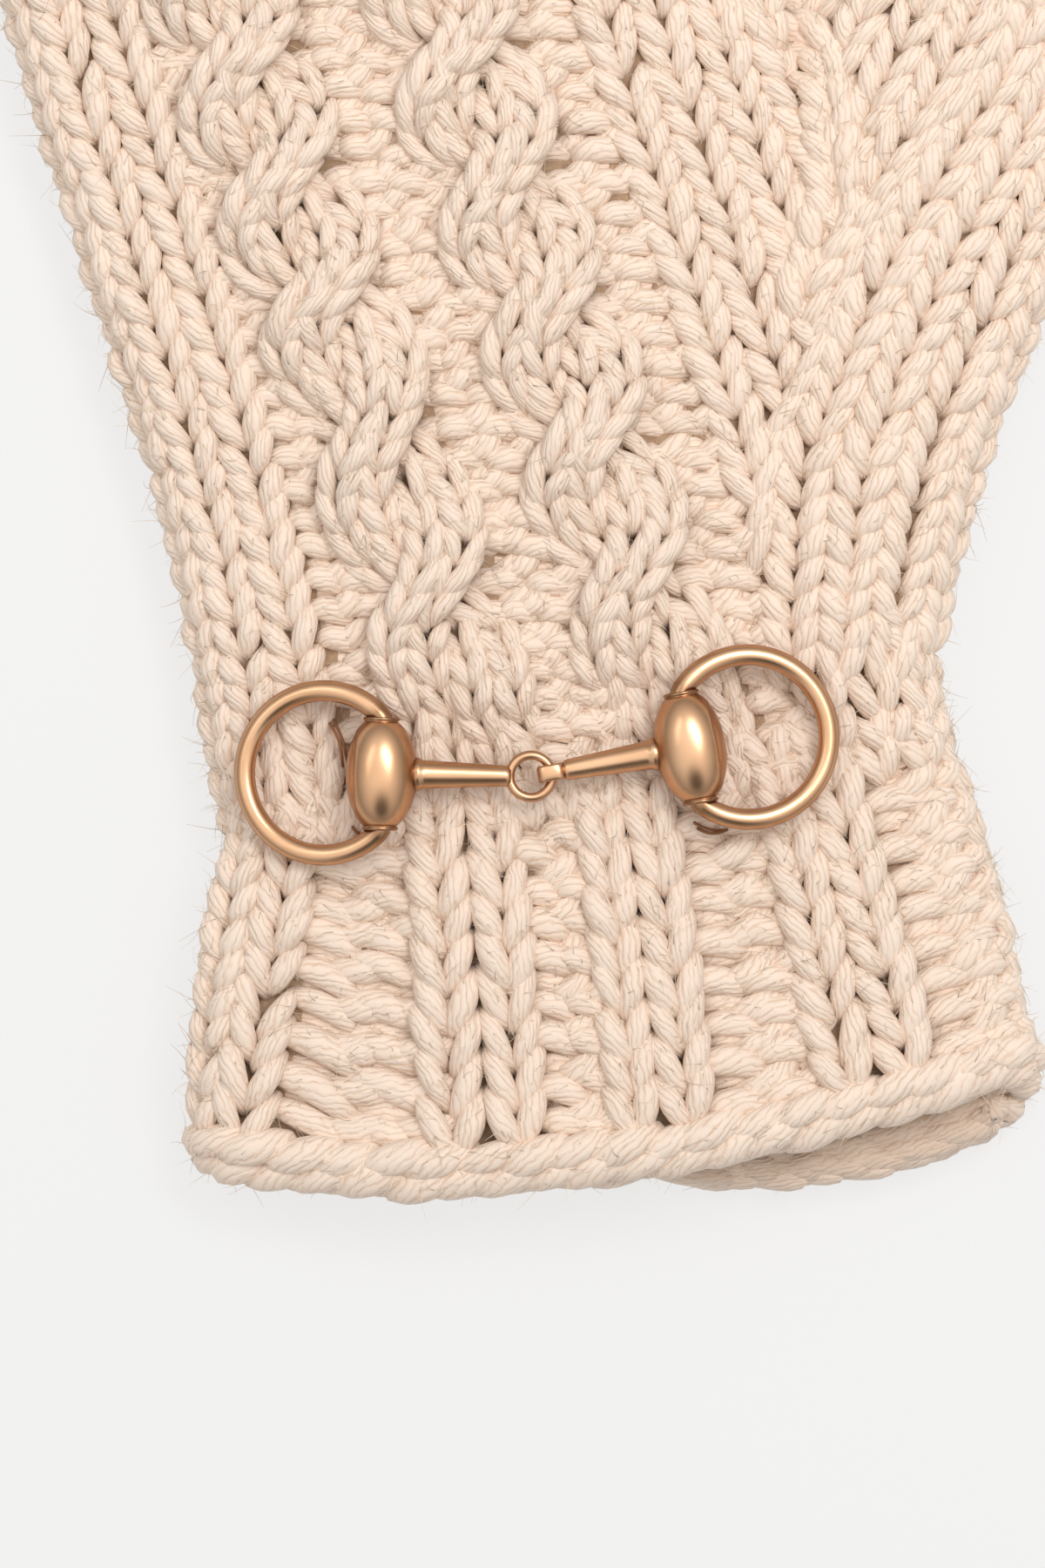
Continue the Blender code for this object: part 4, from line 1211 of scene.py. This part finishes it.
def ringWire():
    # Round wire carried along a closed D: an arc on the far side, ringRadius (cos, sin) moved over
    # by offset, and a straight pin on local y.
    pinHalf = snaffle["pinHalf"]
    offset = math.sqrt(snaffle["ringRadius"] ** 2 - pinHalf ** 2)
    corner = math.asin(pinHalf / snaffle["ringRadius"])
    arc = np.linspace(corner, 2 * math.pi - corner, 90)
    pin = np.linspace(-pinHalf, pinHalf, 14)[1:-1]
    bend = snaffle["ringRadius"] * np.stack([np.cos(arc), np.sin(arc)], -1)
    path = np.concatenate([bend - (offset, 0), np.stack([0 * pin, pin], -1)])
    along = unit(np.roll(path, -1, 0) - np.roll(path, 1, 0))
    section = turns(16)
    outward = np.stack([along[:, 1], -along[:, 0]], -1)
    plan = path[:, None] + outward[:, None] * (snaffle["wire"] * np.cos(section))[:, None]
    z = snaffle["wire"] * np.sin(section)[:, None] + 0 * plan[..., :1]
    grid = np.concatenate([plan, z], -1)
    recess = np.repeat(np.exp(-((np.abs(path[:, 1]) - 6.9) / 0.7) ** 2) * (path[:, 0] > -2.5), 16)
    return gridPart(grid, True), recess


brass = {
    "dark": (0.60, 0.32, 0.16, 1),
    "light": (0.95, 0.59, 0.355, 1),
    # painted dark reflection along the rims, where the metal turns from the eye
    "edge": (0.26, 0.10, 0.028, 1),
    "patina": (0.14, 0.055, 0.018, 1),
    "roughness": 0.3,
    "cloudScale": 150.0,
    "brushScale": (900.0, 2600.0, 1500.0),
}


def makeBrass():
    # Clouds of dark and light, patina in the recesses, and a painted dark reflection where it turns
    # from the eye.
    material, tree, shader = newMaterial("brushedBrass", (0.48, 0.22, 0.08, 1))
    place = addNode(tree, "ShaderNodeTexCoord", (-1200, 0)).outputs["Object"]
    cloud = addNoise(tree, place, brass["cloudScale"], 2.0, (-900, 200))
    drawn = addNode(tree, "ShaderNodeMapping", (-1050, -150),
                    {"Vector": place, "Scale": brass["brushScale"]})
    brush = addNoise(tree, drawn.outputs[0], 1.0, 3.0, (-900, -150))
    amount = addMath(tree, "MULTIPLY_ADD", cloud, 1.0, (-700, 250), 0.15)
    metal = addMix(tree, amount, brass["dark"], brass["light"], (-500, 200))
    recess = addMath(tree, "MULTIPLY", addValue(tree, "recess", (-900, -450)), 0.6, (-500, -300))
    metal = addMix(tree, recess, metal, brass["patina"], (-250, 200))
    # painted dark reflection: darker where the surface turns from the eye
    facing = addNode(tree, "ShaderNodeLayerWeight", (-500, 400), {"Blend": 0.65})
    darkRimReflection = addMath(tree, "POWER", facing.outputs["Facing"], 1.2, (-300, 400))
    darkRimReflection = addMath(tree, "MULTIPLY", darkRimReflection, 0.85, (-150, 400))
    rough = addMath(tree, "MULTIPLY_ADD", brush, 0.06, (-500, -100), brass["roughness"] - 0.03)
    finishShader(tree, shader, addMix(tree, darkRimReflection, metal, brass["edge"], (-50, 300)), brush,
                 0.02, 0.00001, {"Roughness": rough, "Metallic": 1.0})
    return material


brushedBrass = makeBrass()


def placeCasting(name, parts, barrel, end, body, node, tilt=None):
    # one piece of metal from its parts, with their recesses
    points, quads, triangles = joinParts([part for part, recess in parts])
    values = {"recess": np.concatenate([recess for part, recess in parts])}
    piece = newMesh(name, castPlace(points, barrel, end, tilt), quads, triangles,
                    values=values, material=brushedBrass)
    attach(piece, body)
    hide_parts(node)
    return piece


eye, leftBarrel, rightBarrel = (snaffle[key] for key in ("eye", "leftBarrel", "rightBarrel"))
leftLength, rightLength = math.dist(leftBarrel, eye), math.dist(rightBarrel, eye)
leftArm = [eggBarrel(), taperArm(leftLength - 2.35), roundEye(leftLength)]
rightArm = [eggBarrel(), taperArm(rightLength - 3.85), strapLoop(rightLength - 2.45)]
placeCasting("leftSnaffleArm", leftArm, leftBarrel, eye, "mitten", "left_arm")
placeCasting("rightSnaffleArm", rightArm, rightBarrel, eye, "mitten", "right_arm")
placeCasting("leftRing", [ringWire()], leftBarrel, eye, "left_ring", "left_ring",
             snaffle["leftDrop"])
placeCasting("rightRing", [ringWire()], rightBarrel, eye, "right_ring", "right_ring",
             snaffle["rightDrop"])
print("metal cast")

# Pale floor, soft light and the camera, which looks straight down.
studio = {
    "floor": (0.17, 0.17, 0.17, 1),
    "floorGlow": 0.72,
    "key": 6.0,
    "keySize": 0.5,
    "fill": 2.4,
    "fillSize": 0.5,
    "zenith": 1.14,
    "horizon": 0.17,
    "darkSide": (0.08, -0.74, 0.668),     # a darker patch on the near side, which metal mirrors
    "darkColour": (0.05, 0.045, 0.04, 1),
}
floorMesh = bpy.data.meshes.new("paleFloor")
floorMesh.from_pydata([(-3, -3, 0), (3, -3, 0), (3, 3, 0), (-3, 3, 0)], [], [(0, 1, 2, 3)])
floor = bpy.data.objects.new("paleFloor", floorMesh)
bpy.context.scene.collection.objects.link(floor)
floorMaterial, floorTree, floorShader = newMaterial("palePaper", (0.87, 0.87, 0.87, 1))
for key, value in {"Base Color": studio["floor"], "Roughness": 1.0, "Specular IOR Level": 0.0,
                   "Emission Color": (1.0, 0.995, 0.99, 1),
                   "Emission Strength": studio["floorGlow"]}.items():
    setSocket(floorTree, floorShader.inputs[key], value)
floorMesh.materials.append(floorMaterial)


def addLight(name, power, size, place, target=(0.0, -0.06, 0.0)):
    # a square light that faces its target: turned by acos(-z / length), then by atan2(x, -y)
    data = bpy.data.lights.new(name, "AREA")
    data.energy, data.size = power, size
    light = bpy.data.objects.new(name, data)
    bpy.context.scene.collection.objects.link(light)
    light.location = place
    x, y, z = np.array(target) - np.array(place)
    light.rotation_euler = (math.acos(-z / math.hypot(x, y, z)), 0, math.atan2(x, -y))


addLight("key", studio["key"], studio["keySize"], (0.32, 0.3, 0.85))
addLight("fill", studio["fill"], studio["fillSize"], (-0.5, 0.25, 0.7))
world = bpy.data.worlds.new("studio")
world.use_nodes = True
sky = world.node_tree
direction = addNode(sky, "ShaderNodeTexCoord", (-900, 0)).outputs["Generated"]
split = addNode(sky, "ShaderNodeSeparateXYZ", (-700, 0), {0: direction})
upward = addMath(sky, "ABSOLUTE", split.outputs[2], None, (-500, 0))
horizon, zenith = ([studio[key]] * 3 + [1] for key in ("horizon", "zenith"))
skyColour = addMix(sky, upward, horizon, zenith, (-300, 0))
nearSide = addNode(sky, "ShaderNodeVectorMath", (-700, -250),
                   {0: direction, 1: studio["darkSide"]}, operation="DOT_PRODUCT")
inPatch = addNode(sky, "ShaderNodeMapRange", (-500, -250),
                  {0: nearSide.outputs["Value"], 1: 0.86, 2: 0.97, 3: 0.0, 4: 1.0})
skyColour = addMix(sky, inPatch.outputs[0], skyColour, studio["darkColour"], (-100, 0))
sky.links.new(skyColour, sky.nodes["Background"].inputs[0])
bpy.context.scene.world = world
bpy.context.scene.view_settings.view_transform = "Standard"

view = {
    "distance": 0.75,         # metres over the focus
    "frameHeight": 0.1854,    # metres that the frame takes in there
    "focus": (-0.0041, -0.0659, 0.015),
    "sensor": 24.0,
}
cameraData = bpy.data.cameras.new("camera")
cameraData.sensor_fit = "VERTICAL"
cameraData.sensor_height = view["sensor"]
cameraData.lens = view["sensor"] * view["distance"] / view["frameHeight"]
cameraData.clip_start = 0.01
camera = bpy.data.objects.new("camera", cameraData)
bpy.context.scene.collection.objects.link(camera)
camera.location = (view["focus"][0], view["focus"][1], view["focus"][2] + view["distance"])
bpy.context.scene.camera = camera
print("studio set")
